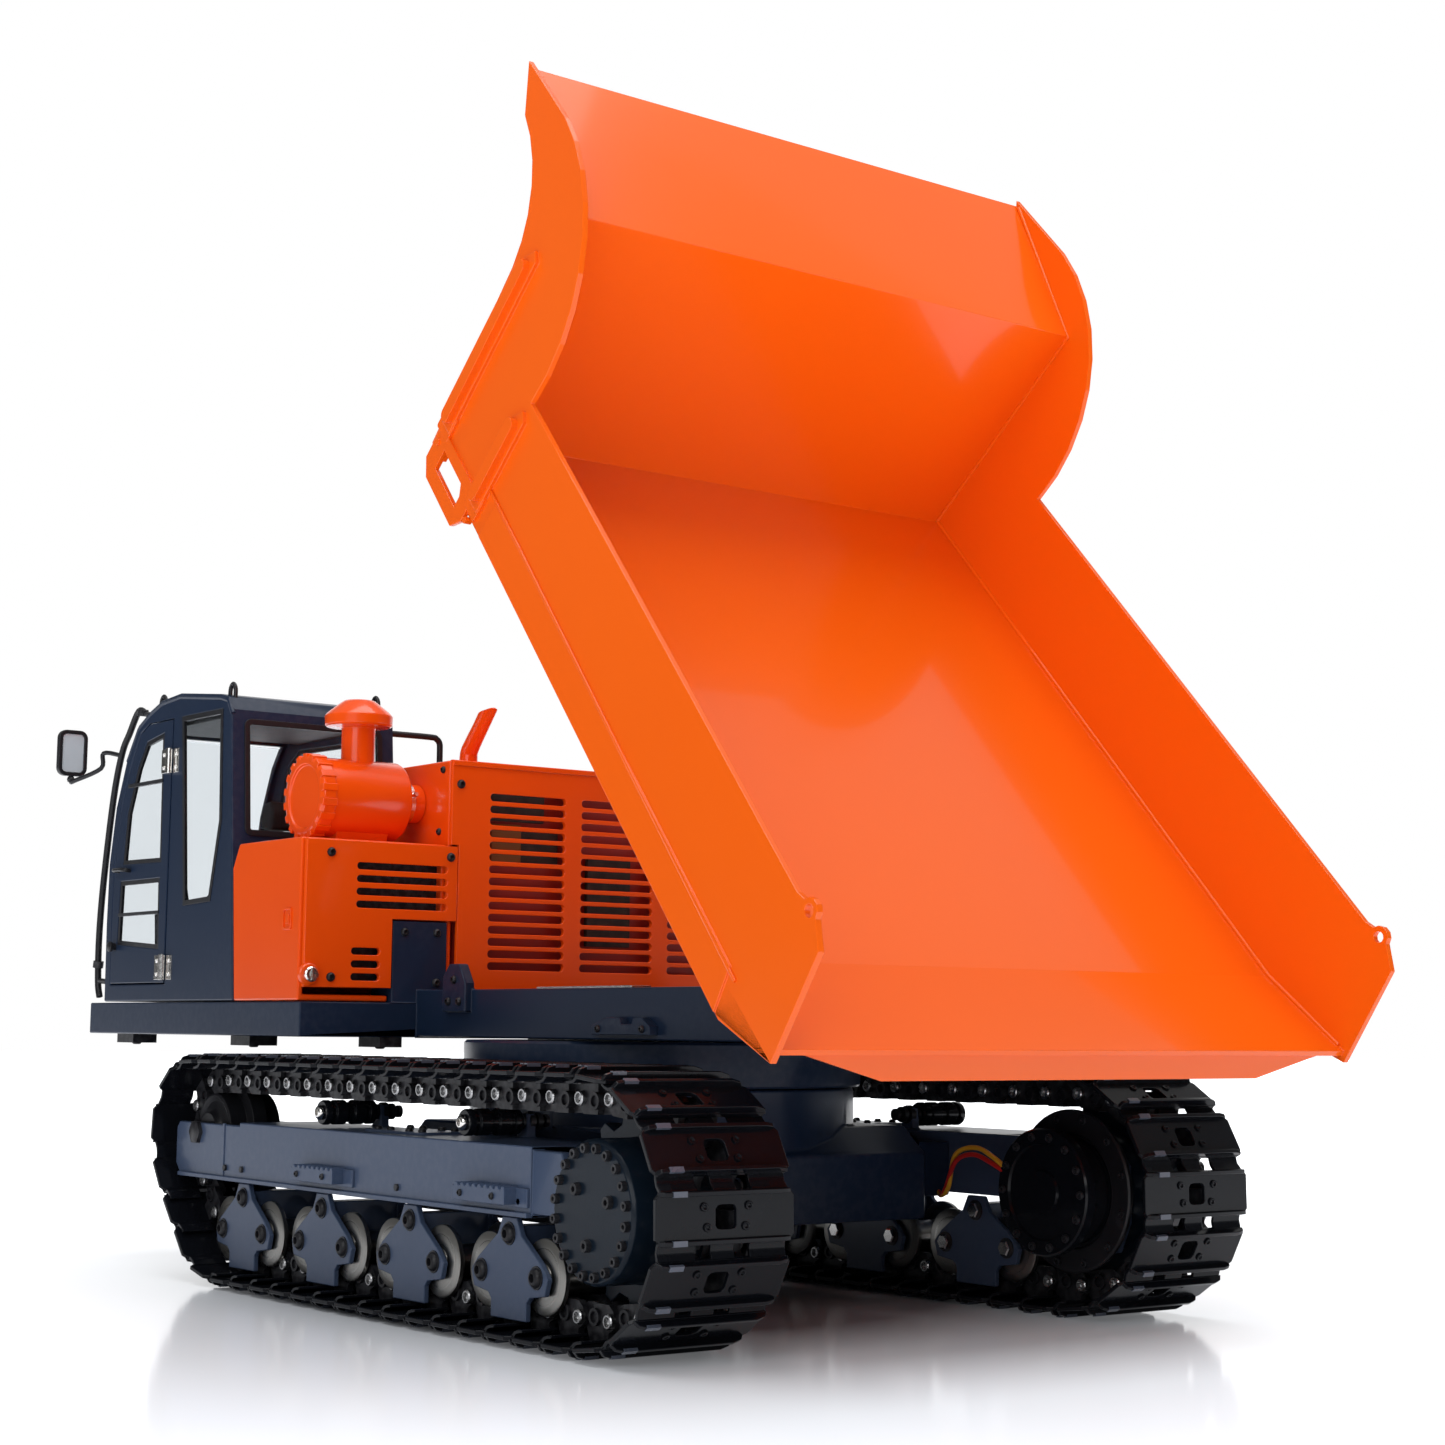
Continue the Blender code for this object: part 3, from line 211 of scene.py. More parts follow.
def joined(solids):
    whole = bmesh.new()
    for bm in solids:
        bmesh.ops.recalc_face_normals(bm, faces=bm.faces[:])
        mesh = bpy.data.meshes.new("part")
        bm.to_mesh(mesh)
        bm.free()
        whole.from_mesh(mesh)
        bpy.data.meshes.remove(mesh)
    return whole


def moved(bm, matrix):
    bmesh.ops.transform(bm, matrix=matrix, verts=bm.verts)
    return bm


def rounded(low, high, radius, steps=4):
    """Corners of a rounded rectangle."""
    points = []
    for k, (x, y) in enumerate(((high[0], high[1]), (low[0], high[1]), (low[0], low[1]), (high[0], low[1]))):
        cx = x - radius if x == high[0] else x + radius
        cy = y - radius if y == high[1] else y + radius
        for i in range(steps + 1):
            angle = math.radians(90 * (k + i / steps))
            points.append((cx + radius * math.cos(angle), cy + radius * math.sin(angle)))
    return points


def grown(outline, distance):
    """The outline moved outward square to its edges. A negative distance moves it inward."""
    area = sum(a[0] * b[1] - b[0] * a[1] for a, b in zip(outline, outline[1:] + outline[:1]))
    turn = -1 if area > 0 else 1
    spots = [Vector(p) for p in outline]
    result = []
    for i, spot in enumerate(spots):
        before = (spot - spots[i - 1]).normalized()
        after = (spots[(i + 1) % len(spots)] - spot).normalized()
        normals = [Vector((-e.y, e.x)) * turn for e in (before, after)]
        push = normals[0] + normals[1]
        result.append(tuple(spot + push * distance / max(push.dot(normals[0]), 0.3)))
    return result


# ---- pieces -------------------------------------------------------------------------------------
def finish_mesh(obj, bevel, angle=35.0):
    mesh = obj.data
    mesh.shade_smooth()
    mesh.set_sharp_from_angle(angle=math.radians(angle))
    if bevel:
        edge = obj.modifiers.new("edges", "BEVEL")
        edge.width = bevel * MM
        edge.segments = 2
        edge.limit_method = "ANGLE"
        edge.angle_limit = math.radians(angle)
        edge.use_clamp_overlap = False
        edge.harden_normals = True


def piece(name, solids, look, body, bevel=0.0, replaces=(), at=None, angle=35.0):
    """One object of the visual model. Its solids are in the shared frame, or about the given place."""
    bm = joined(solids if isinstance(solids, list) else [solids])
    bmesh.ops.scale(bm, vec=(MM, MM, MM), verts=bm.verts)
    mesh = bpy.data.meshes.new(name)
    bm.to_mesh(mesh)
    bm.free()
    return placed(name, mesh, look, body, bevel, replaces, at, angle)


def placed(name, mesh, look, body, bevel=0.0, replaces=(), at=None, angle=35.0):
    obj = bpy.data.objects.new(name, mesh)
    bpy.context.scene.collection.objects.link(obj)
    if not mesh.materials:
        mesh.materials.append(LOOKS[look])
    if at:
        obj.location = Vector(at) * MM
    finish_mesh(obj, bevel, angle)
    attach(obj, body)
    if replaces:
        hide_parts(*replaces)
    return obj


def softened(node, look, bevel=0.35):
    """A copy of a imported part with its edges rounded, which stands for it."""
    bm = bmesh.new()
    bm.from_mesh(NODES[node].data)
    bmesh.ops.remove_doubles(bm, verts=bm.verts[:], dist=0.002 * MM)
    bmesh.ops.dissolve_limit(bm, angle_limit=math.radians(0.6), verts=bm.verts[:], edges=bm.edges[:])
    bmesh.ops.recalc_face_normals(bm, faces=bm.faces[:])
    mesh = bpy.data.meshes.new(node + "_shape")
    bm.to_mesh(mesh)
    bm.free()
    return placed(node + "_shape", mesh, look, NODES[node]["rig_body"], bevel, (node,))


def bolt(place, axis, radius, height, kind="button"):
    """A screw head: a button or cap head with a socket, or a hexagon."""
    if kind == "hex":
        profile = [(0, 0), (0, radius), (height * 0.8, radius), (height, radius * 0.84), (height, 0)]
        return turned(profile, place, axis, 6)
    top = 0.62 if kind == "button" else 0.9
    profile = [(0, 0), (0, radius), (height * 0.35, radius), (height * 0.8, radius * (top + 1) / 2),
               (height, radius * top),
               (height, radius * 0.45), (height * 0.35, radius * 0.40), (height * 0.35, 0)]
    return turned(profile, place, axis, 12)


def dressed(node, look):
    """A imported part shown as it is, with a better material."""
    mesh = NODES[node].data
    mesh.materials.clear()
    mesh.materials.append(LOOKS[look])
    mesh.shade_smooth()
    mesh.set_sharp_from_angle(angle=math.radians(35))


# ---- materials ----------------------------------------------------------------------------------
def new_group(name, inputs, outputs):
    tree = bpy.data.node_groups.new(name, "ShaderNodeTree")
    for label, kind, value in inputs:
        socket = tree.interface.new_socket(label, in_out="INPUT", socket_type=kind)
        socket.default_value = value
    for label, kind in outputs:
        tree.interface.new_socket(label, in_out="OUTPUT", socket_type=kind)
    return tree, tree.nodes.new("NodeGroupInput"), tree.nodes.new("NodeGroupOutput")


def add(tree, kind, links=(), **values):
    """A node with values set on it, or on its inputs by name or number, and links into it."""
    node = tree.nodes.new("ShaderNode" + kind)
    for key, value in values.items():
        if hasattr(node, key):
            setattr(node, key, value)
        else:
            node.inputs[key.replace("_", " ").title()].default_value = value
    for source, target in links:
        tree.links.new(source, node.inputs[target])
    return node


def span(tree, source, low, high, to_low=0.0, to_high=1.0):
    """The value stretched from one range to another."""
    node = add(tree, "MapRange", [(source, 0)])
    for index, value in zip((1, 2, 3, 4), (low, high, to_low, to_high)):
        node.inputs[index].default_value = value
    return node.outputs[0]


FLOAT, VECTOR = "NodeSocketFloat", "NodeSocketVector"


def make_cloudy():
    """Slow and fast variation over the surface, as one mask."""
    tree, given, out = new_group("cloudy",
                                 [("Scale", FLOAT, 40.0), ("Low", FLOAT, 0.35), ("High", FLOAT, 0.65)],
                                 [("Mask", FLOAT)])
    where = add(tree, "TexCoord").outputs["Object"]
    slow = add(tree, "TexNoise", [(where, "Vector"), (given.outputs["Scale"], "Scale")], detail=5.0,
               roughness=0.6)
    spread = add(tree, "MapRange",
                 [(slow.outputs["Fac"], 0), (given.outputs["Low"], 1), (given.outputs["High"], 2)])
    tree.links.new(spread.outputs[0], out.inputs["Mask"])
    return tree


def make_peel():
    """The faint ripple of sprayed paint or the grit of a casting."""
    tree, given, out = new_group("peel", [("Scale", FLOAT, 900.0), ("Depth", FLOAT, 0.1)],
                                 [("Normal", VECTOR)])
    where = add(tree, "TexCoord").outputs["Object"]
    ripple = add(tree, "TexNoise", [(where, "Vector"), (given.outputs["Scale"], "Scale")], detail=3.0)
    bump = add(tree, "Bump", [(given.outputs["Depth"], "Strength"), (ripple.outputs["Fac"], "Height")],
               distance=0.0002)
    tree.links.new(bump.outputs[0], out.inputs["Normal"])
    return tree


def make_edges():
    """A mask along raised edges, broken up by noise."""
    tree, given, out = new_group("edges", [("Amount", FLOAT, 0.5), ("Scale", FLOAT, 300.0)],
                                 [("Mask", FLOAT)])
    sharp = span(tree, add(tree, "NewGeometry").outputs["Pointiness"], 0.53, 0.62)
    where = add(tree, "TexCoord").outputs["Object"]
    grit = add(tree, "TexNoise", [(where, "Vector"), (given.outputs["Scale"], "Scale")], detail=4.0)
    broken = add(tree, "Math", [(sharp, 0), (span(tree, grit.outputs["Fac"], 0.42, 0.62), 1)],
                 operation="MULTIPLY")
    scaled = add(tree, "Math", [(broken.outputs[0], 0), (given.outputs["Amount"], 1)], operation="MULTIPLY",
                 use_clamp=True)
    tree.links.new(scaled.outputs[0], out.inputs["Mask"])
    return tree


def make_lathe():
    """Fine turning marks round the X axis of the piece."""
    tree, given, out = new_group("lathe", [("Rings", FLOAT, 900.0), ("Depth", FLOAT, 0.2)],
                                 [("Normal", VECTOR), ("Mask", FLOAT)])
    parts = add(tree, "SeparateXYZ", [(add(tree, "TexCoord").outputs["Object"], 0)])
    flat = add(tree, "CombineXYZ", [(parts.outputs["Y"], 1), (parts.outputs["Z"], 2)])
    radius = add(tree, "VectorMath", [(flat.outputs[0], 0)], operation="LENGTH")
    line = add(tree, "CombineXYZ", [(radius.outputs["Value"], 0)])
    marks = add(tree, "TexNoise", [(line.outputs[0], "Vector"), (given.outputs["Rings"], "Scale")],
                detail=4.0)
    bump = add(tree, "Bump", [(given.outputs["Depth"], "Strength"), (marks.outputs["Fac"], "Height")],
               distance=0.0001)
    tree.links.new(bump.outputs[0], out.inputs["Normal"])
    tree.links.new(span(tree, marks.outputs["Fac"], 0.3, 0.7), out.inputs["Mask"])
    return tree


def make_dust():
    """Pale dust lying on faces that look up."""
    tree, given, out = new_group("dust", [("Amount", FLOAT, 0.1), ("Scale", FLOAT, 60.0)], [("Mask", FLOAT)])
    up = add(tree, "SeparateXYZ", [(add(tree, "NewGeometry").outputs["Normal"], 0)]).outputs["Z"]
    where = add(tree, "TexCoord").outputs["Object"]
    drift = add(tree, "TexNoise", [(where, "Vector"), (given.outputs["Scale"], "Scale")], detail=6.0)
    laid = add(tree, "Math", [(span(tree, up, 0.2, 0.9), 0), (span(tree, drift.outputs["Fac"], 0.4, 0.7), 1)],
               operation="MULTIPLY")
    scaled = add(tree, "Math", [(laid.outputs[0], 0), (given.outputs["Amount"], 1)], operation="MULTIPLY",
                 use_clamp=True)
    tree.links.new(scaled.outputs[0], out.inputs["Mask"])
    return tree


GROUPS = {"cloudy": make_cloudy(), "peel": make_peel(), "edges": make_edges(), "lathe": make_lathe(),
          "dust": make_dust()}


def use(tree, name, **values):
    node = tree.nodes.new("ShaderNodeGroup")
    node.node_tree = GROUPS[name]
    for key, value in values.items():
        node.inputs[key.title()].default_value = value
    return node


def mixed(tree, mask, first, second):
    """One colour, or socket, over another by a mask."""
    node = add(tree, "Mix", data_type="RGBA")
    tree.links.new(mask, node.inputs["Factor"])
    for socket, value in ((node.inputs[6], first), (node.inputs[7], second)):
        if isinstance(value, tuple):
            socket.default_value = (*value, 1)
        else:
            tree.links.new(value, socket)
    return node.outputs[2]


def shader(name, **values):
    material = bpy.data.materials.new(name)
    material.use_nodes = True
    tree = material.node_tree
    surface = tree.nodes["Principled BSDF"]
    for key, value in values.items():
        surface.inputs[key.replace("_", " ").title().replace("Ior", "IOR")].default_value = value
    return material, tree, surface


def paint(name, colour, deep, rough, coat, grit=900.0, depth=0.06, wear=(0.6, 0.6, 0.62), worn=0.0,
          dusty=0.05, clouds=30.0, sheen=0.5):
    """Sprayed or powder-coated metal."""
    material, tree, surface = shader(name, coat_weight=coat, coat_roughness=0.06, specular_ior_level=sheen)
    cloud = use(tree, "cloudy", scale=clouds, low=0.3, high=0.75).outputs["Mask"]
    base = mixed(tree, cloud, colour, deep)
    worn_base = mixed(tree, use(tree, "edges", amount=worn, scale=420.0).outputs["Mask"], base, wear)
    dust = use(tree, "dust", amount=dusty, scale=70.0).outputs["Mask"]
    tree.links.new(mixed(tree, dust, worn_base, (0.42, 0.40, 0.38)), surface.inputs["Base Color"])
    fine = use(tree, "cloudy", scale=clouds * 9, low=0.3, high=0.7).outputs["Mask"]
    tree.links.new(span(tree, fine, 0.0, 1.0, rough, rough * 1.12), surface.inputs["Roughness"])
    tree.links.new(use(tree, "peel", scale=grit, depth=depth).outputs["Normal"], surface.inputs["Normal"])
    return material


def metal(name, colour, deep, rough, rings=0.0, stained=0.3):
    """Bare turned or plated metal."""
    material, tree, surface = shader(name, metallic=1.0)
    cloud = use(tree, "cloudy", scale=120.0, low=0.3, high=0.8).outputs["Mask"]
    tree.links.new(mixed(tree, span(tree, cloud, 0, 1, 0, stained), colour, deep),
                   surface.inputs["Base Color"])
    if rings:
        marks = use(tree, "lathe", rings=1400.0, depth=rings)
        tree.links.new(marks.outputs["Normal"], surface.inputs["Normal"])
        tree.links.new(span(tree, marks.outputs["Mask"], 0, 1, rough * 0.8, rough * 1.4),
                       surface.inputs["Roughness"])
    else:
        fine = use(tree, "cloudy", scale=700.0, low=0.3, high=0.7).outputs["Mask"]
        tree.links.new(span(tree, fine, 0, 1, rough * 0.8, rough * 1.3), surface.inputs["Roughness"])
        tree.links.new(use(tree, "peel", scale=1500.0, depth=0.04).outputs["Normal"],
                       surface.inputs["Normal"])
    return material


def clear_sheet(name, tint, rough):
    material, tree, surface = shader(name, transmission_weight=1.0, ior=1.2)
    haze = use(tree, "cloudy", scale=25.0, low=0.45, high=0.9).outputs["Mask"]
    tree.links.new(span(tree, haze, 0, 1, rough, rough + 0.05), surface.inputs["Roughness"])
    tree.links.new(mixed(tree, haze, tint, tuple(c * 0.97 for c in tint)), surface.inputs["Base Color"])
    return material


LOOKS = {
    "orange": paint("orange_enamel", (0.88, 0.118, 0.003), (0.865, 0.113, 0.003), 0.20, 0.32, depth=0.02,
                    dusty=0.0, clouds=12.0, sheen=0.22),
    "orange_red": paint("orange_cover_enamel", (0.86, 0.084, 0.003), (0.835, 0.078, 0.003), 0.20, 0.3,
                        depth=0.03, dusty=0.0, sheen=0.3),
    "blue_grey": paint("blue_grey_coat", (0.010, 0.021, 0.048), (0.009, 0.019, 0.044), 0.30, 0.06, 1300.0,
                       0.08, worn=0.03, dusty=0.0, sheen=0.2),
    "blue_grey_light": paint("frame_coat", (0.054, 0.078, 0.136), (0.050, 0.073, 0.128), 0.30, 0.10, 1200.0,
                             0.08, worn=0.04, dusty=0.0, sheen=0.2),
    "night": paint("drive_cover_coat", (0.006, 0.012, 0.021), (0.005, 0.010, 0.018), 0.30, 0.06, 1300.0, 0.08,
                   worn=0.03, dusty=0.0, sheen=0.16),
    "amber": paint("amber_case", (0.26, 0.10, 0.012), (0.20, 0.075, 0.010), 0.5, 0.05, dusty=0.0),
    "black_gloss": paint("black_track_coat", (0.0045, 0.005, 0.007), (0.006, 0.007, 0.010), 0.18, 0.12, 700.0,
                         0.05, (0.16, 0.17, 0.20), 0.0, 0.0, sheen=0.15),
    "black": paint("black_oxide", (0.008, 0.008, 0.010), (0.013, 0.013, 0.016), 0.36, 0.0, 1500.0, 0.12,
                   (0.15, 0.15, 0.16), 0.15, 0.0, sheen=0.3),
    "dark_plastic": paint("moulded_plastic", (0.010, 0.010, 0.012), (0.016, 0.016, 0.019), 0.55, 0.0, 2200.0,
                          0.35, dusty=0.02),
    "core": paint("radiator_core", (0.020, 0.018, 0.017), (0.060, 0.045, 0.035), 0.7, 0.0, 500.0, 0.6,
                  clouds=200.0),
    "red_wire": paint("red_insulation", (0.55, 0.015, 0.012), (0.45, 0.010, 0.010), 0.35, 0.1, dusty=0.0),
    "yellow_wire": paint("yellow_insulation", (0.75, 0.38, 0.02), (0.66, 0.30, 0.015), 0.35, 0.1, dusty=0.0),
    "lens_red": paint("red_lens", (0.45, 0.01, 0.008), (0.35, 0.006, 0.006), 0.12, 0.6, 300.0, 0.4,
                      dusty=0.0),
    # a darker copy of the cover red: painted shade for the inside of the hood seen through the rear grille's
    # slots
    "shade_red": paint("red_painted_shade", (0.42, 0.020, 0.006), (0.30, 0.014, 0.005), 0.5, 0.0, dusty=0.0),
    # lighter blue-grey for the crests' tops: painted highlight
    "crest_highlight_paint": paint("painted_crest_highlight", (0.10, 0.115, 0.15), (0.07, 0.08, 0.11), 0.25, 0.3, dusty=0.0),
    # a pale diffuse face for the mirror: painted reflection of the bright studio, not a mirror finish
    "mirror_painted_reflection": paint("painted_mirror_reflection", (0.50, 0.54, 0.58), (0.42, 0.46, 0.50), 0.10, 0.8, depth=0.01,
                         dusty=0.0),
    "pin_steel": metal("pin_steel", (0.50, 0.50, 0.50), (0.30, 0.30, 0.31), 0.28),
    "machined": metal("turned_steel", (0.36, 0.35, 0.325), (0.25, 0.243, 0.23), 0.30, rings=0.30),
    "nickel": metal("bright_nickel", (0.82, 0.80, 0.77), (0.62, 0.60, 0.58), 0.16),
    "glass": clear_sheet("clear_sheet", (0.90, 0.93, 0.95), 0.0),
}


# ---- tracks -------------------------------------------------------------------------------------
PIN_DEPTH = 8.9  # grouser tip to pin line
LINK_PITCH = 13.9
CREST_Y = 5.9  # each shoe's two crests, before and behind its middle


def wheel_circles():
    """Centres and radii, to the grousers' tips, of the circles that the track wraps."""
    idler, drive, front = middle("idler_left"), middle("sprocket_left"), middle("roller_left_1")
    return [
        (Vector((front.y, front.z)), front.z),
        (Vector((drive.y, DRIVE_R)), DRIVE_R),
        (Vector((idler.y, idler.z)), TRACK_TOP - idler.z),
    ]


def pin_line():
    """A close polyline of the pins' path, from the front roller round."""
    wheels = [(c, r - PIN_DEPTH) for c, r in wheel_circles()]
    angles = []
    for (a, ra), (b, rb) in zip(wheels, wheels[1:] + wheels[:1]):
        along = (b - a).normalized()
        share = (ra - rb) / (b - a).length
        normal = along * share + Vector((along.y, -along.x)) * math.sqrt(1 - share * share)
        angles.append(math.degrees(math.atan2(normal.y, normal.x)) % 360)
    line = []
    for k, (centre, radius) in enumerate(wheels):
        sweep = (angles[k] - angles[k - 1]) % 360
        for i in range(41):
            angle = math.radians(angles[k - 1] + sweep * i / 40)
            line.append(centre + Vector((math.cos(angle), math.sin(angle))) * radius)
    return line


def pins():
    """Pin places at an even pitch round the path."""
    line = pin_line()
    line.append(line[0])
    lengths = [0.0]
    for a, b in zip(line, line[1:]):
        lengths.append(lengths[-1] + (b - a).length)
    count = round(lengths[-1] / LINK_PITCH)
    places, k = [], 0
    for n in range(count):
        s = lengths[-1] * n / count
        while lengths[k + 1] < s:
            k += 1
        share = (s - lengths[k]) / max(lengths[k + 1] - lengths[k], 1e-9)
        places.append(line[k].lerp(line[k + 1], share))
    return places


def shoe():
    """One shoe in its link's frame: X across the track, Y along it, Z outward from the pin line."""
    outer = [(21.4, -4.9), (21.4, 4.9), (19.6, 6.6), (4.5, 6.6), (-4.5, 6.6), (-19.6, 6.6), (-21.4, 4.9),
             (-21.4, -4.9),
             (-19.6, -6.6), (-4.5, -6.6), (4.5, -6.6), (19.6, -6.6)]
    window = [(3.2, -1.9), (3.2, 1.9), (2.5, 2.8), (1.3, 3.0), (-1.3, 3.0), (-2.5, 2.8), (-3.2, 1.9),
              (-3.2, -1.9),
              (-2.5, -2.8), (-1.3, -3.0), (1.3, -3.0), (2.5, -2.8)]
    solids = [holed(outer, window, "Z", 5.7, 6.9)]
    for y in (-CREST_Y, CREST_Y):
        crest = [(-20.6, 6.4), (20.6, 6.4), (19.4, 8.1), (16.6, 8.85), (-16.6, 8.85), (-19.4, 8.1)]
        solids.append(prism(crest, "Y", y - 0.6, y + 0.6))
    lip = [(6.0, 6.9), (7.1, 6.1), (8.2, 5.1), (9.6, 4.7), (11.3, 4.5), (11.3, 3.7), (9.3, 3.8), (7.6, 4.3),
           (6.5, 5.2), (5.8, 5.8)]
    for low, high in ((8.4, 19.8), (-3.6, 3.6), (-19.8, -8.4)):
        solids.append(prism(lip, "X", low, high))
    for x, y in ((6.9, 2.6), (-6.9, 2.6), (5.9, -2.4), (-5.9, -2.4)):
        solids.append(bolt((x, y, 6.8), (0, 0, 1), 1.15, 0.7, "cap"))
    return solids


def crest_highlight_tabs():
    """Lighter tabs on the outer end of each crest: a painted highlight of the lamps on the crests' tops."""
    return [block((13.2, 17.4), (y - 0.7, y + 0.7), (8.0, 8.89)) for y in (-CREST_Y, CREST_Y)]


def rails():
    """The two link plates under a shoe, each stepped outward at one end."""
    solids = []
    for side in (1, -1):
        inner, mid, outer = side * 4.1, side * 6.0, side * 7.9
        back = [(-7.6, -1.9), (-6.2, -3.9), (1.2, -4.1), (1.2, 6.0), (-5.2, 6.0), (-6.6, 2.4), (-8.2, 1.2)]
        fore = [(-0.6, -4.1), (6.0, -4.1), (8.0, -2.6), (8.9, 0.0), (8.0, 2.0), (6.2, 3.0), (5.4, 6.0),
                (-0.6, 6.0)]
        solids.append(prism(back, "X", inner, mid + side * 0.1))
        solids.append(prism(fore, "X", mid - side * 0.1, outer))
        solids.append(turned([(6.0, 0), (6.0, 2.5), (8.7, 2.3), (8.7, 1.5), (8.0, 1.4), (8.0, 0)],
                             (0, 0.2, -0.6), (side, 0, 0), 14))
    return solids


def pin_ends():
    profile = [(7.6, 0), (7.6, 2.0), (8.9, 2.0), (9.2, 1.7), (9.2, 1.3), (8.3, 1.1), (8.3, 0)]
    return [turned(profile, (0, 6.95, 0), (side, 0, 0), 14) for side in (1, -1)]


def mesh_of(solids):
    mesh = bpy.data.meshes.new("unit")
    bm = joined(solids)
    bm.to_mesh(mesh)
    bm.free()
    return mesh


def chain(unit, places):
    """Copies of one unit at every link, as one solid."""
    whole = bmesh.new()
    for a, b in zip(places, places[1:] + places[:1]):
        along = (b - a).normalized()
        mid = (a + b) / 2
        out = Vector((along.y, -along.x))
        turn = Matrix(((1, 0, 0, 0), (0, along.x, out.x, mid.x), (0, along.y, out.y, mid.y), (0, 0, 0, 1)))
        copy = unit.copy()
        copy.transform(turn)
        whole.from_mesh(copy)
        bpy.data.meshes.remove(copy)
    return whole


def tracks():
    places = pins()
    rows = (
        (mesh_of(shoe()), "shoes", "black_gloss", "black_paint"),
        (mesh_of(rails()), "links", "black", "black_paint"),
        (mesh_of(pin_ends()), "pins", "pin_steel", "bright_nickel"),
        # the crest tabs carry a painted highlight
        (mesh_of(crest_highlight_tabs()), "crests", "crest_highlight_paint", "black_paint"),
    )
    for side, word in SIDES:
        for unit, name, look, slot in rows:
            whole = moved(chain(unit, places), Matrix.Translation((side * TRACK_X, 0, 0)))
            replaced = (f"track_belt_{word}",) if name == "shoes" else ()
            piece(f"track_{name}_{word}", whole, look, "undercarriage",
                  0.22 if name == "shoes" else 0.0, replaced)


def rollers():
    """Bottom rollers with broad polished flanges, and the carrier rollers and idlers."""
    low, high = box_mm("roller_left_1")
    half, bore = (high.x - low.x) / 2, 2.0
    face = [(half, bore), (half, 3.4), (half - 0.25, 3.7), (half - 0.25, 9.5), (half - 0.6, 10.15),
            (half - 1.8, 10.2), (half - 2.2, 9.8),
            (half - 2.6, 5.4), (half - 2.9, 4.5)]
    outline = face + [(-x, r) for x, r in face[::-1]]
    mesh = None
    for word in ("left", "right"):
        for n in range(1, 9):
            node = f"roller_{word}_{n}"
            if mesh is None:
                mesh = piece(node + "_shape", turned(outline, segments=48), "machined", node,
                             0.0, (node,), middle(node)).data
            else:
                placed(node + "_shape", mesh, "machined", node, 0.0, (node,), middle(node))
        node = f"idler_{word}"
        tread = box_mm(node)[1].z - middle(node).z - 4.0
        half_rim = [(11.4, 3.0), (11.4, 6.2), (9.8, 6.8), (9.0, 7.6), (8.4, tread - 2.4), (9.3, tread - 0.8),
                    (8.9, tread), (3.0, tread), (2.4, tread + 3.6)]
        rim = half_rim + [(-x, r) for x, r in half_rim[::-1]]
        piece(node + "_shape", turned(rim, segments=56), "black", node, 0.15, (node,),
              middle(node))
        for n in (1, 2):
            node = f"carrier_roller_{word}_{n}"
            face = [(8.9, 1.8), (8.9, 3.5), (8.3, 3.8), (6.6, 3.8), (6.2, 3.2), (5.4, 3.2), (5.0, 3.8),
                    (1.4, 3.8), (0.9, 3.1)]
            piece(node + "_shape", turned(face + [(-x, r) for x, r in face[::-1]], segments=36),
                  "black_gloss", node,
                  0.1, (node,), middle(node))


def carrier_ends():
    """Axle screws and the knobbly grease fittings beside the carrier rollers."""
    for side, word in SIDES:
        dark, bright = [], []
        for n in (1, 2):
            centre = middle(f"carrier_roller_{word}_{n}")
            out, inward = (side, 0, 0), (-side, 0, 0)
            reach = Vector((side * 9.2, 0, 0))
            bright.append(bolt(centre + reach, out, 2.3, 1.4))
            steps = [(0, 0), (0, 2.4), (1.2, 2.4), (1.4, 1.5), (2.4, 1.5), (2.6, 2.9), (4.4, 2.9), (4.6, 1.8),
                     (5.2, 1.8), (5.4, 2.5),
                     (7.0, 2.5), (7.3, 1.2), (8.2, 1.2), (8.4, 1.9), (9.6, 1.9), (9.9, 0)]
            dark.append(turned(steps, centre - reach, inward, 16))
        piece(f"carrier_fittings_{word}", dark, "black", "undercarriage")
        piece(f"carrier_screws_{word}", bright, "nickel", "undercarriage")


def bolt_circle(centre, out, count, reach, radius, height, start=0.0):
    """Cap screws evenly round a centre, square to X. The first is at the start angle, in degrees."""
    heads = []
    for n in range(count):
        angle = math.radians(start + 360 * n / count)
        spot = centre + Vector((0, reach * math.cos(angle), reach * math.sin(angle)))
        heads.append(bolt(spot, (out, 0, 0), radius, height, "cap"))
    return heads


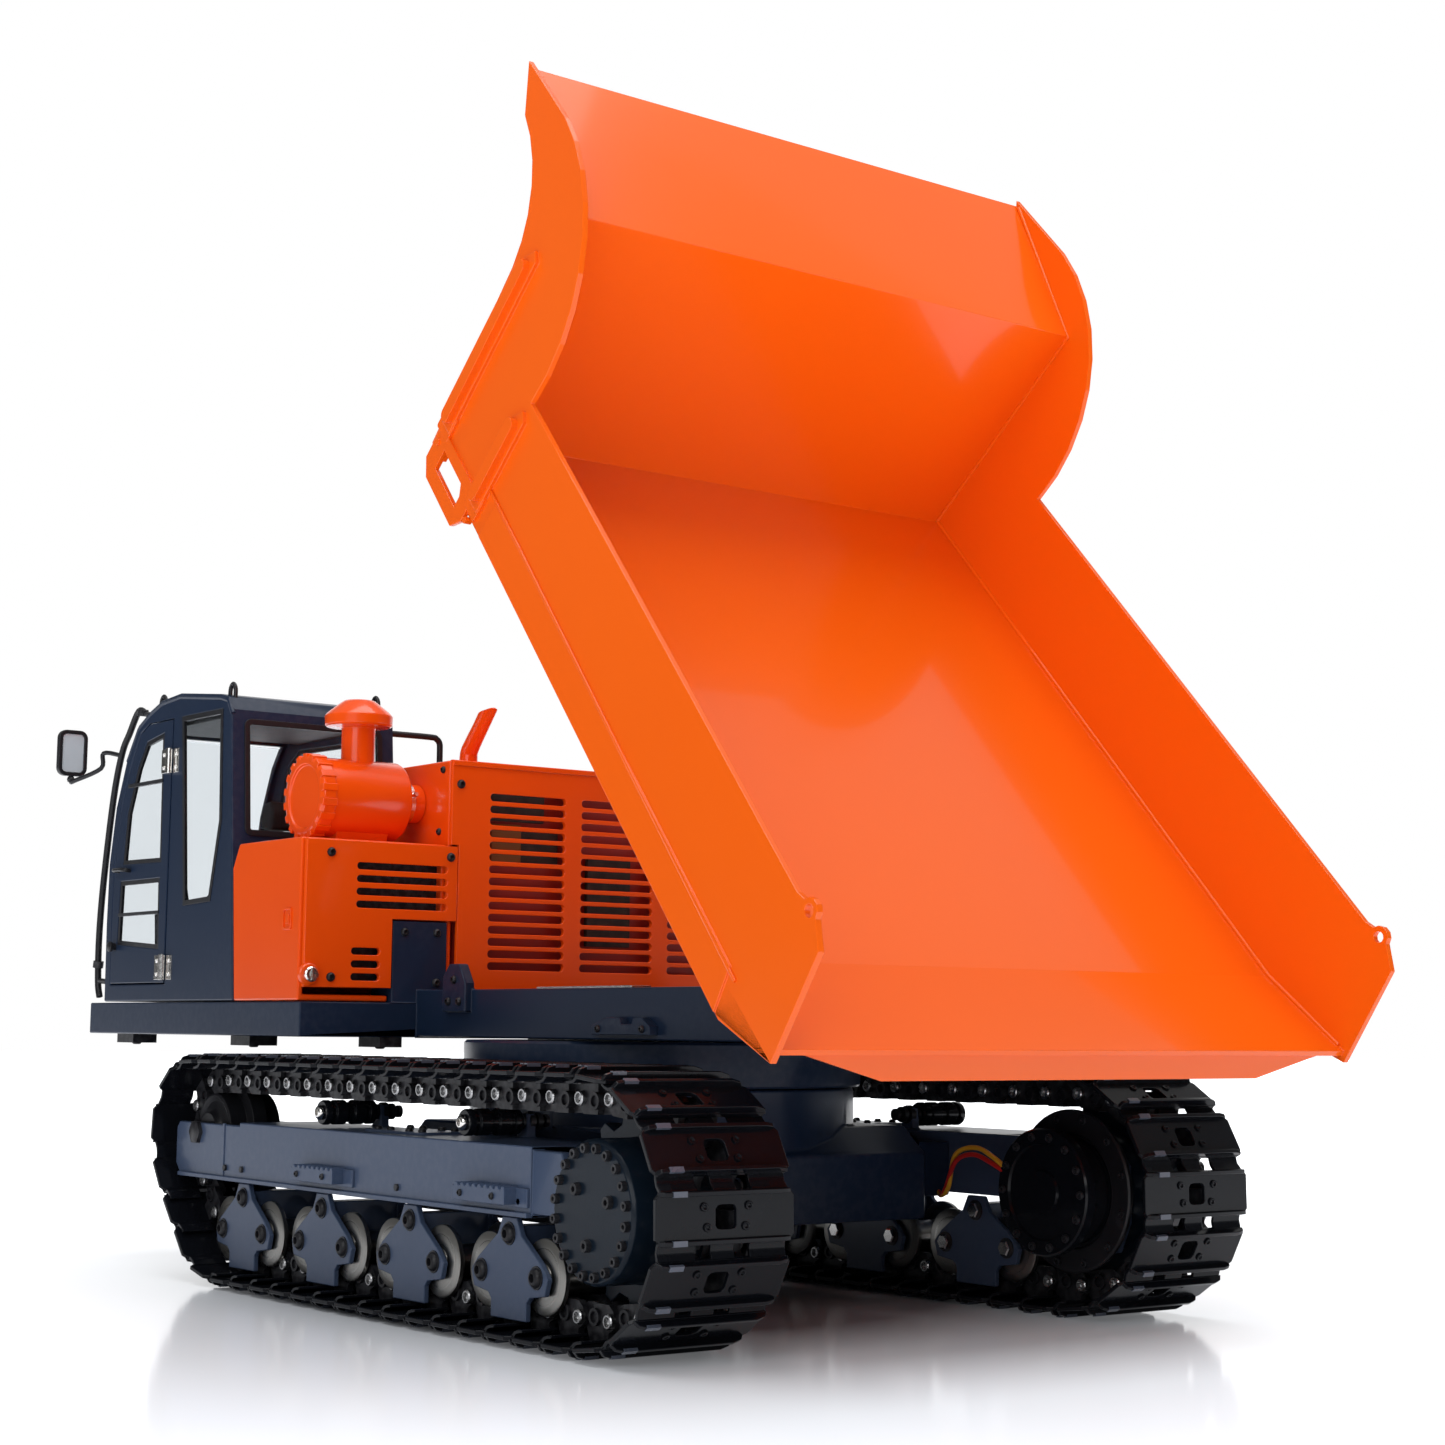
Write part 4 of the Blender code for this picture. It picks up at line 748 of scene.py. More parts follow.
def drives():
    """Final drive covers with their rings of screws, and the teeth."""
    for side, word in SIDES:
        node = f"sprocket_{word}"
        softened(node, "night", 0.3)
        centre = Vector((side * TRACK_X, middle(node).y, DRIVE_R))
        face = side * (box_mm("sprocket_left")[1].x)
        hub = Vector((face, centre.y, centre.z))
        heads = bolt_circle(hub, side, 20, 16.2, 1.35, 1.5, 9.0)
        heads += bolt_circle(hub, side, 3, 8.6, 1.7, 1.5, 20.0)
        piece(f"drive_screws_{word}", heads, "black", node)
        low, high = box_mm(f"drive_motor_{word}")
        spot = Vector((low.x if side > 0 else high.x, (low.y + high.y) / 2, (low.z + high.z) / 2))
        radius = (high.z - low.z) / 2
        nose = [(-13.2, 0), (-13.2, radius - 2.6), (-4.2, radius - 2.4), (-4.0, radius - 0.4), (-3.5, radius),
                (-0.5, radius), (0, radius - 0.5),
                (0, radius - 4.4), (-0.8, radius - 4.8), (-0.8, 6.4), (0.0, 6.0), (0, 0)]
        piece(f"motor_drum_{word}", turned(nose, spot, (-side, 0, 0), 56), "black_gloss", "undercarriage",
              0.0,
              (f"drive_motor_{word}",))
        ring = bolt_circle(spot + Vector((side * 0.1, 0, 0)), -side, 14, radius - 2.4, 1.25, 1.0)
        inner = Vector((side * (TRACK_X - 15.2), spot.y, spot.z))
        collar = [(0, 10), (0, 23.4), (0.5, 23.8), (1.4, 23.8), (1.9, 23.2), (1.9, 17.0), (1.0, 16.4),
                  (1.0, 10)]
        ring.append(turned(collar, inner, (-side, 0, 0), 64))
        ring += bolt_circle(inner - Vector((side * 1.8, 0, 0)), -side, 12, 21.4, 1.3, 0.8, 15.0)
        piece(f"motor_flange_{word}", ring, "black", "undercarriage", 0.1)


def bogies():
    """Rounded bogie plates, with button screws on the outer faces and nuts on the inner ones."""
    for side, word in SIDES:
        outer_screws, inner_nuts = [], []
        for n in range(1, 5):
            node = f"bogie_{word}_{n}"
            softened(node, "blue_grey_light", 0.35)
            low, high = box_mm(node)
            mid = (low + high) / 2
            axle_z = low.z + 12.0
            washer = [(0, 0), (0, 3.2), (0.35, 3.1), (0.35, 0)]
            for y, z in ((mid.y - 13.8, axle_z), (mid.y + 13.8, axle_z), (mid.y, axle_z + 10.6)):
                for face, out in ((high.x, 1), (low.x, -1)):
                    if out == side:
                        outer_screws.append(bolt((face - out * 0.1, y, z), (out, 0, 0), 2.7, 1.7))
                    else:
                        inner_nuts.append(bolt((face - out * 0.1, y, z), (out, 0, 0), 2.5, 1.7, "hex"))
                    outer_screws.append(turned(washer, (face - out * 0.05, y, z), (out, 0, 0), 18))
        piece(f"bogie_screws_{word}", outer_screws, "black", "undercarriage")
        piece(f"bogie_nuts_{word}", inner_nuts, "nickel", "undercarriage")


def track_frames():
    """Beams with step treads, lips, end plates and bolts."""
    for side, word in SIDES:
        softened(f"track_frame_{word}", "blue_grey_light", 0.45)
        face = side * FRAME_HIGH.x
        low_z, high_z = box_mm("bogie_left_1")[1].z + 0.6, FRAME_TOP
        steel, dark = [], []
        steel.append(block(sorted((face - side * 1.0, face + side * 1.4)), (-118.5, FRAME_REAR),
                           (low_z, low_z + 1.3)))
        steel.append(block(sorted((face - side * 0.5, face + side * 0.35)), (-87.6, -86.2),
                           (low_z + 1, high_z)))
        for start, end in ((-31.0, -4.0), (65.0, 92.0)):
            tread = [(start, 36.6), (end, 36.6), (end, 40.4)]
            teeth = 9
            width = (end - start) / teeth
            for k in range(teeth):
                y = end - (end - start) * k / teeth
                tread += [(y - 0.15 * width, 41.4), (y - 0.45 * width, 41.4), (y - 0.6 * width, 40.6),
                          (y - 0.9 * width, 40.6)]
            tread += [(start, 40.4)]
            steel.append(prism(tread, "X", face, face + side * 4.6))
            steel.append(block(sorted((face, face + side * 0.8)), (start, end + 5.5), (35.9, 41.0)))
            for y in (start + 4.5, end - 6.0):
                dark.append(bolt((face + side * 4.6, y, 38.6), (side, 0, 0), 0.95, 0.8))
        steel.append(prism(rounded((TRACK_X * side - 8.5, -6), (TRACK_X * side + 8.5, 28), 2.0), "Z",
                           high_z - 0.2, high_z + 1.3))
        for x in (-5.5, 5.5):
            for y in (-2.0, 5.5, 16.5, 24.0):
                dark.append(bolt((TRACK_X * side + x, y, high_z + 1.3), (0, 0, 1), 1.2, 1.0))
        for y in (-82.0, -70.0, 30.0, 96.0):
            dark.append(bolt((face, y - 3, low_z + 4.0), (side, 0, 0), 1.1, 0.8, "hex"))
        idler = middle(f"idler_{word}")
        dark.append(bolt((face, idler.y, idler.z), (side, 0, 0), 4.0, 1.6, "hex"))
        dark.append(bolt((side * (FRAME_LOW.x), idler.y, idler.z), (-side, 0, 0), 3.4, 1.4, "hex"))
        piece(f"frame_plates_{word}", steel, "blue_grey_light", "undercarriage", 0.2)
        piece(f"frame_bolts_{word}", dark, "black", "undercarriage")
        start, end = idler.y + 15.5, idler.y + 24.0
        turns = 5
        helix = []
        for k in range(turns * 12 + 1):
            angle = 2 * math.pi * k / 12
            y = start + (end - start) * k / (turns * 12)
            helix.append((TRACK_X * side + 5.0 * math.cos(angle), y, idler.z - 3.5 + 5.0 * math.sin(angle)))
        core = [(-2, 0), (-2, 2.6), (15, 2.6), (15, 0)]
        spring = [pipe(helix, 0.8, 8),
                  turned(core, (TRACK_X * side, idler.y + 14.0, idler.z - 3.5), (0, 1, 0), 16)]
        piece(f"recoil_spring_{word}", spring, "black", "undercarriage")


def car_body():
    softened("car_body", "blue_grey", 0.8)
    low, high = box_mm("slew_ring")
    mid = (low + high) / 2
    radius = (high.x - low.x) / 2
    tall = high.z - low.z
    profile = [(0, 0), (0, radius - 0.6), (0.6, radius), (tall - 0.8, radius), (tall, radius - 0.8),
               (tall, 0)]
    piece("slew_ring_shape", turned(profile, (mid.x, mid.y, low.z), (0, 0, 1), 96), "blue_grey",
          "undercarriage", 0.0,
          ("slew_ring",))
    cables = (("red", "red_wire", 0.0), ("yellow", "yellow_wire", 2.0))
    for name, look, shift in cables:
        route = [(-57.5, 116.0, 40.5 + shift / 2), (-56.0, 110.0, 44.0 + shift),
                 (-56.0 - shift / 2, 101.0, 46.5 + shift),
                 (-57.0, 92.0, 44.0 + shift), (-60.0, 84.5 + shift / 2, 36.0), (-62.0, 80.0, 33.0),
                 (-66.0, 74.0, 34.0)]
        piece(f"motor_wire_{name}", pipe(smooth_path(route, 8), 0.75, 10), look, "undercarriage")


# ---- deck and covers ----------------------------------------------------------------------------
def screws(places, radius=1.5, height=1.1, axis=(0, 1, 0)):
    return [bolt(p, axis, radius, height) for p in places]


def deck():
    softened("deck", "blue_grey", 0.5)
    dark, steel, bright = [], [], []
    rail_x, rail_top = 55.0, DECK_LOW.z + 15.2
    for side in (1, -1):
        face = side * rail_x
        bright.append(block(sorted((side * 47.6, side * 54.4)), (28.0, 78.0), (rail_top, rail_top + 0.6)))
        bracket = [(63.0, 81.5), (92.0, 81.5), (92.0, 84.0), (88.0, 86.4), (84.0, 86.4), (83.0, 84.6),
                   (78.0, 84.6), (77.0, 86.4),
                   (70.0, 86.4), (63.0, 84.0)]
        steel.append(prism(bracket, "X", face, face + side * 3.0))
        for y in (66.5, 88.5):
            dark.append(bolt((face + side * 3.0, y, 83.2), (side, 0, 0), 1.1, 0.9))
        for y, z in ((-18.4, 91.2), (-12.0, 91.2), (-15.2, 98.0)):
            dark.append(bolt((side * 57.5, y, z), (side, 0, 0), 1.35, 1.0))
        bright.append(bolt((side * 57.0, *HINGE), (side, 0, 0), 3.6, 1.8, "hex"))
    for y in (52.0, 100.0, 128.0):
        steel += [block(sorted((side * 13.0, side * 47.2)), (y, y + 3.0), (84.0, 90.0)) for side in (1, -1)]
    low = DECK_LOW.z
    for x, y, wide in ((88.0, -186.0, 9.0), (88.0, -92.0, 10.0), (64.0, -50.0, 8.0), (-88.0, -186.0, 9.0),
                       (-88.0, -60.0, 10.0)):
        dark.append(block((x - wide / 2, x + wide / 2), (y - 7, y + 7), (low - 3.2, low + 0.2)))
        dark.append(bolt((x, y, low - 3.2), (0, 0, -1), 1.6, 0.6))
    corner_x = HOOD_HIGH.x + 10.0
    for x, z in ((corner_x - 5.5, 113.6), (corner_x + 6.5, 113.6), (corner_x - 5.5, 97.5)):
        dark.append(bolt((x, BACK_Y - 0.4, z), (0, 1, 0), 1.4, 1.0))
    lamp = []
    for side in (1, -1):
        x = side * 74.0
        steel.append(block((x - 10, x + 10), (DECK_LOW.y - 0.1, DECK_LOW.y + 1.5), (low + 2, low + 9)))
        lamp.append(turned([(0, 0), (0, 2.6), (1.2, 2.3), (1.8, 1.2), (2.0, 0)],
                           (x + 4, DECK_LOW.y - 0.1, low + 5.5), (0, -1, 0), 20))
    piece("sill_lamps", lamp, "lens_red", "upper_structure")
    piece("deck_bolts", dark, "black", "upper_structure", 0.0)
    piece("deck_brackets", steel, "blue_grey", "upper_structure", 0.25)
    piece("wear_strips", bright, "nickel", "upper_structure", 0.1)


def slotted_panel(name, node, slots, look):
    """A flat cover on the rear of the body with round-ended louvres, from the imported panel's own outline."""
    low, high = box_mm(node)
    points = outline_of(node)
    curve = bpy.data.curves.new(name, "CURVE")
    curve.dimensions = "2D"
    curve.fill_mode = "BOTH"
    loops = [points]
    for (x0, z0), (x1, z1) in slots:
        loops.append(rounded((x0, z0), (x1, z1), min(x1 - x0, z1 - z0) / 2 - 0.01, 4))
    for loop in loops:
        spline = curve.splines.new("POLY")
        spline.points.add(len(loop) - 1)
        for point, (x, z) in zip(spline.points, loop):
            point.co = (x * MM, z * MM, 0, 1)
        spline.use_cyclic_u = True
    edge = 0.22
    curve.extrude = ((high.y - low.y) / 2 - edge) * MM
    curve.bevel_depth = edge * MM
    curve.bevel_resolution = 2
    curve.offset = -edge * MM
    helper = bpy.data.objects.new(name, curve)
    bpy.context.scene.collection.objects.link(helper)
    bpy.context.view_layer.update()
    mesh = bpy.data.meshes.new_from_object(helper.evaluated_get(bpy.context.evaluated_depsgraph_get()))
    bpy.data.objects.remove(helper)
    mesh.transform(Matrix.Translation((0, (low.y + high.y) / 2 * MM, 0)) @ Matrix.Rotation(math.pi / 2, 4,
                                                                                           "X"))
    mesh.materials.clear()
    mesh.name = name
    return placed(name, mesh, look, "upper_structure", 0.0, (node,), angle=50)


def outline_of(node):
    """The outer edge of a flat packed panel, in X and Z."""
    low, high = box_mm(node)
    if node == "side_panel":
        step_x, step_z = HOOD_HIGH.x + 21.2, FLOOR + 26.8
        return [(high.x, low.z), (high.x, high.z), (low.x, high.z), (low.x, step_z), (step_x, step_z),
                (step_x, low.z)]
    step_x, step_z = high.x - 3.0, BOX_TOP
    return [(low.x, low.z), (step_x, low.z), (step_x, step_z), (high.x, step_z), (high.x, high.z),
            (low.x, high.z)]


def covers():
    softened("side_cover", "orange_red", 0.7)
    softened("engine_hood", "orange_red", 0.8)
    low, high = PANEL_LOW, PANEL_HIGH
    left = high.x
    slots = [((left - 51.4, z - 1.15),
              (left - 18.0, z + 1.15)) for z in (high.z - 7.9 - 4.1 * n for n in range(4))]
    slots += [((left - 27.0, z - 1.15),
               (left - 16.6, z + 1.15)) for z in (low.z + 3.4 + 4.1 * n for n in range(3))]
    slotted_panel("side_panel_shape", "side_panel", slots, "orange_red")
    glow, ghigh = box_mm("rear_grille")
    pitch = (ghigh.z - FLOOR - 24.1) / 14
    slots = []
    for column in range(3):
        x = ghigh.x - 14.8 - 36.5 * column
        slots += [((x - 30.0, ghigh.z - 11.6 - pitch * row - 1.25),
                   (x, ghigh.z - 11.6 - pitch * row + 1.25)) for row in range(15)]
    slotted_panel("rear_grille_shape", "rear_grille", slots, "orange_red")

    # A plate in that darker red behind the rear grille's slots: painted shade inside the hood.
    inner = block((glow.x + 4, ghigh.x - 4), (BACK_Y - 6.5, BACK_Y - 5.0), (glow.z + 1, ghigh.z - 4))
    piece("inner_wall", inner, "shade_red", "upper_structure")
    # Black plates behind the side panel's slots: painted shade inside the cover.
    slot_shade = [block((left - 56, left - 3), (BACK_Y - 6.5, BACK_Y - 5.0), (FLOOR + 28.5, high.z - 3)),
             block((left - 29, left - 3), (BACK_Y - 6.5, BACK_Y - 5.0), (low.z + 0.6, FLOOR + 28.0))]
    piece("side_slot_shade", slot_shade, "black", "upper_structure")
    gear = [block((ghigh.x - 38, ghigh.x - 16), (BACK_Y - 4.9, BACK_Y - 3.0), (ghigh.z - 19, ghigh.z - 8)),
            block((ghigh.x - 44, ghigh.x - 24), (BACK_Y - 4.9, BACK_Y - 3.4), (ghigh.z - 33, ghigh.z - 22)),
            block((ghigh.x - 74, ghigh.x - 56), (BACK_Y - 4.9, BACK_Y - 3.0), (ghigh.z - 60, ghigh.z - 30))]
    piece("circuit_boards", gear, "core", "upper_structure", 0.3)
    block_low = (ghigh.x - 29, ghigh.x - 17), (BACK_Y - 4.9, BACK_Y - 2.9), (ghigh.z - 33, ghigh.z - 20)
    piece("receiver", block(*block_low), "amber", "upper_structure", 0.5)

    top_strip = [block((HOOD_LOW.x + 0.4, ghigh.x - 0.2), (BACK_Y - 0.4, BACK_Y + 0.55),
                       (HOOD_HIGH.z - 1.9, HOOD_HIGH.z - 0.2))]
    piece("hood_lid_edge", top_strip, "orange_red", "upper_structure", 0.2)
    heads = screws([(x, BACK_Y, z) for x, z in (
        (left - 8.5, high.z - 4.0), (left - 52.4, high.z - 3.6), (left - 9.4, low.z + 3.2),
                                                (ghigh.x - 3.2, ghigh.z - 8.0),
        (ghigh.x - 88.0, ghigh.z - 5.0), (glow.x + 5.0, ghigh.z - 8.0), (glow.x + 5.0, glow.z + 4.0),
    )])
    heads += screws([(HOOD_HIGH.x, y, z) for y, z in ((BACK_Y - 6.0, 168.0), (BACK_Y - 8.0, 147.5))], 1.2,
                    0.9, (1, 0, 0))
    heads += screws([(HOOD_LOW.x, y, z) for y,
                     z in ((-52.0, 166.0), (-82.0, 166.0), (-104.0, 166.0), (-52.0, 98.0), (-104.0, 98.0),
                           (-180.0, 98.0))],
                    axis=(-1, 0, 0))
    piece("cover_screws", heads, "black", "upper_structure")

    key_x, key_z = left - 1.6, low.z + 3.9
    lug = turned([(0, 0), (0, 3.6), (1.0, 3.5), (1.3, 3.1), (1.3, 0)], (key_x, BACK_Y - 0.3, key_z),
                 (0, 1, 0), 28)
    piece("key_lug", lug, "orange_red", "upper_structure", 0.0)
    key = [turned([(0, 0), (0, 2.5), (1.5, 2.4), (1.9, 2.0), (1.9, 1.1), (1.2, 1.0), (1.2, 0)],
                  (key_x, BACK_Y + 0.9, key_z), (0, 1, 0), 24),
           block((key_x - 0.35, key_x + 0.35), (BACK_Y + 1.5, BACK_Y + 3.4), (key_z - 1.8, key_z + 1.8))]
    piece("key_switch", key, "nickel", "upper_structure")

    recess_y, recess_z = -52.5, 117.0
    rim = holed(grown(rounded((recess_y - 2.2, recess_z - 2.8), (recess_y + 2.2, recess_z + 2.8), 0.6), 0.7),
                rounded((recess_y - 2.2, recess_z - 2.8), (recess_y + 2.2, recess_z + 2.8), 0.6), "X",
                BODY_X - 0.2, BODY_X + 0.5)
    latch = prism(rounded((recess_y - 1.2, recess_z - 1.6), (recess_y + 1.2, recess_z + 1.6), 0.4), "X",
                  BODY_X - 0.2, BODY_X + 0.35)
    piece("cover_latch", [rim, latch], "orange_red", "upper_structure", 0.1)
    lid_y = (-96.4, -95.6)
    seams = [block((HOOD_LOW.x - 0.25, HOOD_LOW.x + 0.2), lid_y, (FLOOR + 4, HOOD_HIGH.z - 3)),
             block((HOOD_LOW.x + 2, HOOD_HIGH.x - 12), lid_y, (HOOD_HIGH.z - 0.2, HOOD_HIGH.z + 0.2))]
    handle = smooth_path([(HOOD_LOW.x - 0.2, -60, 148), (HOOD_LOW.x - 3.4, -60.5, 148),
                          (HOOD_LOW.x - 4.0, -66, 148), (HOOD_LOW.x - 3.4, -71.5, 148),
                          (HOOD_LOW.x - 0.2, -72, 148)], 5)
    seams.append(pipe(handle, 0.9, 10))
    # Black rounded bars on the hood's right side stand for vent slots: painted shade in the openings.
    for n in range(7):
        z = 103 + n * 4.2
        seams.append(prism(rounded((-162.0, z - 1.1), (-132.0, z + 1.1), 1.0), "X", HOOD_LOW.x - 0.3,
                           HOOD_LOW.x + 0.2))
    cap = [(0, 0), (0, 6.0), (1.0, 6.4), (3.4, 6.4), (4.2, 5.6), (4.2, 2.0), (5.6, 1.6), (5.6, 0)]
    seams.append(turned(cap, (-58.0, -150.0, FRONT_TOP), (0, 0, 1), 30))
    piece("hood_fittings", seams, "black", "upper_structure", 0.12)
    lamps, rims = [], []
    front = -192.0
    for x in (-72.0, -8.0):
        rims.append(turned([(0, 7.2), (0, 8.4), (2.6, 8.0), (3.0, 7.2)], (x, front + 0.2, FLOOR + 28),
                           (0, -1, 0), 40))
        rims.append(turned([(0, 0), (0, 7.0), (1.0, 6.0), (0.4, 0)], (x, front + 0.1, FLOOR + 28), (0, -1, 0),
                           36))
        lamps.append(turned([(1.2, 0), (1.2, 7.2), (2.0, 7.1), (3.2, 4.8), (3.7, 0)], (x, front, FLOOR + 28),
                            (0, -1, 0), 36))
    # Black rounded bars on the front stand for grille slots: painted shade in the openings.
    for n in range(8):
        z = FLOOR + 11 + n * 3.4
        rims.append(prism(rounded((-56.0, z - 1.0), (-24.0, z + 1.0), 0.9), "Y", front - 0.5, front + 0.2))
    piece("lamp_rims", rims, "black", "upper_structure", 0.1)
    piece("lamp_glasses", lamps, "glass", "upper_structure")


def air_cleaner():
    """The drum with its ribbed end cap, neck, rain cap and clamp bands."""
    low, high = box_mm("air_cleaner")
    radius = 13.3
    y = (low.y + high.y) / 2
    z = BOX_TOP + 14.8
    left, right, neck_x = high.x, HOOD_HIGH.x + 8.5, HOOD_HIGH.x + 22.8
    long = left - right
    drum = [(0, 0), (0, radius - 1.4), (0.5, radius - 0.4), (1.4, radius), (long - 5.2, radius),
            (long - 5.0, radius + 0.55),
            (long - 1.0, radius + 0.55), (long - 0.2, radius - 0.3), (long, radius - 1.2),
            (long, radius - 2.6),
            (long - 0.8, radius - 3.0), (long - 0.8, 0)]
    solids = [turned(drum, (right, y, z), (1, 0, 0), 64)]
    for n in range(18):
        angle = 2 * math.pi * n / 18
        lug = block((left - 5.4, left), (-1.25, 1.25), (radius - 1.6, radius + 0.95))
        solids.append(moved(lug, Matrix.Translation((0, y, z)) @ Matrix.Rotation(angle, 4, "X")))
    cap = [(6, 0), (6, 5.6), (24.0, 5.6), (24.3, 8.4), (24.4, 10.6), (24.9, 11.2), (28.0, 11.3), (29.2, 10.2),
           (32.4, 6.2), (33.2, 5.0), (33.4, 0)]
    solids.append(turned(cap, (neck_x, y, z), (0, 0, 1), 56))
    solids.append(turned([(0, 0), (0, 6.6), (9.4, 6.6), (9.4, 0)], (HOOD_HIGH.x + 0.2, y, z), (1, 0, 0), 40))
    saddle = [(y - 6, COVER_HIGH.z + 0.3), (y + 6, COVER_HIGH.z + 0.3), (y + 8, z - 8), (y - 8, z - 8)]
    solids.append(prism(saddle, "X", right + 6, left - 9))
    piece("air_cleaner_shape", solids, "orange_red", "upper_structure", 0.3, ("air_cleaner",))
    band = turned([(0, 6.5), (0, 7.1), (1.5, 7.1), (1.5, 6.5)], (HOOD_HIGH.x + 4.2, y, z), (1, 0, 0), 40)
    clamp = bolt((HOOD_HIGH.x + 5.0, y + 6.8, z + 2.2), (0, 1, 0.2), 0.9, 2.0, "hex")
    piece("duct_band", [band, clamp], "nickel", "upper_structure")


def pipework():
    """Exhaust, handrail, grab rail and the mirror's arm as smooth bars."""
    low, high = box_mm("exhaust")
    x, z = (low.x + high.x) / 2, HOOD_HIGH.z
    y = low.y + 3.3
    route = smooth_path([(x, y, z + 0.3), (x, y, z + 4.0), (x, y + 0.4, z + 6.6), (x, y + 3.0, z + 9.8),
                         (x, y + 7.6, z + 14.6)], 6)
    along = Vector((0, 4.0, 4.4)).normalized()
    stack = pipe(route, 3.3, 28, 2.8)
    tip = [[Vector(route[-1]) + (along.cross(Vector((1, 0, 0))) * math.cos(a) + Vector((1, 0,
                                                                                        0)) * math.sin(a)) * r
            for a in (2 * math.pi * k / 28 for k in range(28))] for r in (2.8, 2.3)]
    lengths = [6.6 + 3.6 * math.cos(2 * math.pi * k / 28) for k in range(28)]
    mouth = bmesh.new()
    rings = [[mouth.verts.new(p - along * 0.3) for p in tip[0]],
             [mouth.verts.new(p + along * n) for p, n in zip(tip[0], lengths)],
             [mouth.verts.new(p + along * n) for p, n in zip(tip[1], lengths)],
             [mouth.verts.new(p + along * 0.1) for p in tip[1]]]
    for a, b in zip(rings, rings[1:]):
        for k in range(28):
            mouth.faces.new((a[k], a[(k + 1) % 28], b[(k + 1) % 28], b[k]))
    mouth.faces.new(rings[0])
    mouth.faces.new(rings[-1])
    collar = turned([(0, 0), (0, 4.4), (1.4, 4.4), (1.8, 3.4), (1.8, 0)], (x, y, z + 0.1), (0, 0, 1), 32)
    piece("exhaust_shape", [stack, mouth, collar], "orange_red", "upper_structure", 0.0,
          ("exhaust",))
    low, high = box_mm("handrail")
    y, top = (low.y + high.y) / 2, high.z - 1.1
    route = [(high.x, y, top), (low.x + 5.2, y, top), (low.x + 2.6, y, top - 0.5),
             (low.x + 1.3, y, top - 2.0), (low.x + 1.1, y, top - 5.0),
             (low.x + 1.1, y, low.z + 0.1)]
    foot = turned([(0, 0), (0, 2.6), (0.8, 2.4), (0.8, 0)], (low.x + 1.1, y, low.z), (0, 0, 1), 20)
    piece("handrail_shape", [pipe(smooth_path(route, 6), 1.1, 16), foot], "black", "upper_structure",
          0.0, ("handrail",))
    x = BODY_X - 1.5
    mirror_low, mirror_high = box_mm("mirror")
    mx, my, mz = (mirror_low.x + mirror_high.x) / 2, (mirror_low.y + mirror_high.y) / 2, mirror_low.z
    line = [(-171.5, 103.6), (-178.0, 105.0), (-185.5, 97.6), (-191.6, 90.8), (-197.7, 75.0), (-203.7, 45.5),
            (-206.0, 24.7), (-205.4, 8.0),
            (-203.5, 2.2)]
    rail = pipe(smooth_path([(x, a, b + FLOOR) for a, b in line], 5), 1.2, 16)
    arm = [(x, -191.6, FLOOR + 90.0), (x + 2.8, -202.0, FLOOR + 91.5), (x + 3.0, -203.4, FLOOR + 86.0),
           (mx, my + 3.5, mz - 2.0),
           (mx, my + 0.6, mz - 2.0), (mx, my, mz + 0.6)]
    arm_bar = pipe(smooth_path(arm, 5), 0.85, 12)
    ball = turned([(0, 0), (0, 1.1), (1.0, 1.45), (2.0, 1.1), (2.0, 0)], (mx, my, mz - 2.2), (0, 0, 1), 16)
    clips = []
    for y, height in ((-174.5, 104.2), (-205.8, 14.0)):
        clips.append(turned([(-1.2, 1.1), (-1.2, 1.9), (1.2, 1.9), (1.2, 1.1)], (x, y, height + FLOOR),
                            (0, 0.2, 1), 18))
    stays = [pipe([(x, -203.7, FLOOR + 8.0), (x - 1, -195.0, FLOOR + 7.4)], 1.0, 10),
             pipe([(x, -172.5, FLOOR + 103.6), (x, -166.0, FLOOR + 102.4)], 1.0, 10)]
    piece("grab_rail_shape", [rail, arm_bar, ball] + clips + stays, "black", "upper_structure",
          0.0, ("grab_rail",))


def mirror():
    low, high = box_mm("mirror")
    ring = rounded((low.x, low.z), (high.x, high.z), 3.0, 5)
    y = (low.y + high.y) / 2
    shell = prism(ring, "Y", low.y + 0.6, y + 0.9)
    lip = holed(ring, grown(ring, -1.5), "Y", y + 0.6, high.y)
    back = prism(grown(ring, -1.6), "Y", low.y, low.y + 0.8)
    piece("mirror_frame", [shell, lip, back], "black", "mirror_head", 0.35, ("mirror",))
    # The mirror's face in a pale paint: painted reflection.
    glass = prism(grown(ring, -1.45), "Y", y + 0.8, y + 1.1)
    piece("mirror_glass", glass, "mirror_painted_reflection", "mirror_head")


# ---- cab ----------------------------------------------------------------------------------------
REAR_LEAN, REAR_TALL = 7.9, 97.6  # the cab's rear face leans forward by this much over this height


def at_floor(points):
    return [(y, z + FLOOR) for y, z in points]


def rear_y(height):
    """The cab's rear face at this height above the sill."""
    return -90.5 - REAR_LEAN * (height - 0.4) / REAR_TALL


def pane(name, outline, axis, place, body, thick=0.8, rim=1.5, proud=0.5):
    """A clear pane with a black seal round its edge. Outlines are in the plane square to the axis."""
    piece(name + "_glass", prism(outline, axis, place - thick, place), "glass", body)
    seal = holed(grown(outline, 0.25), grown(outline, -rim), axis, place - thick - 0.2, place + proud)
    piece(name + "_seal", seal, "black", body, 0.12)


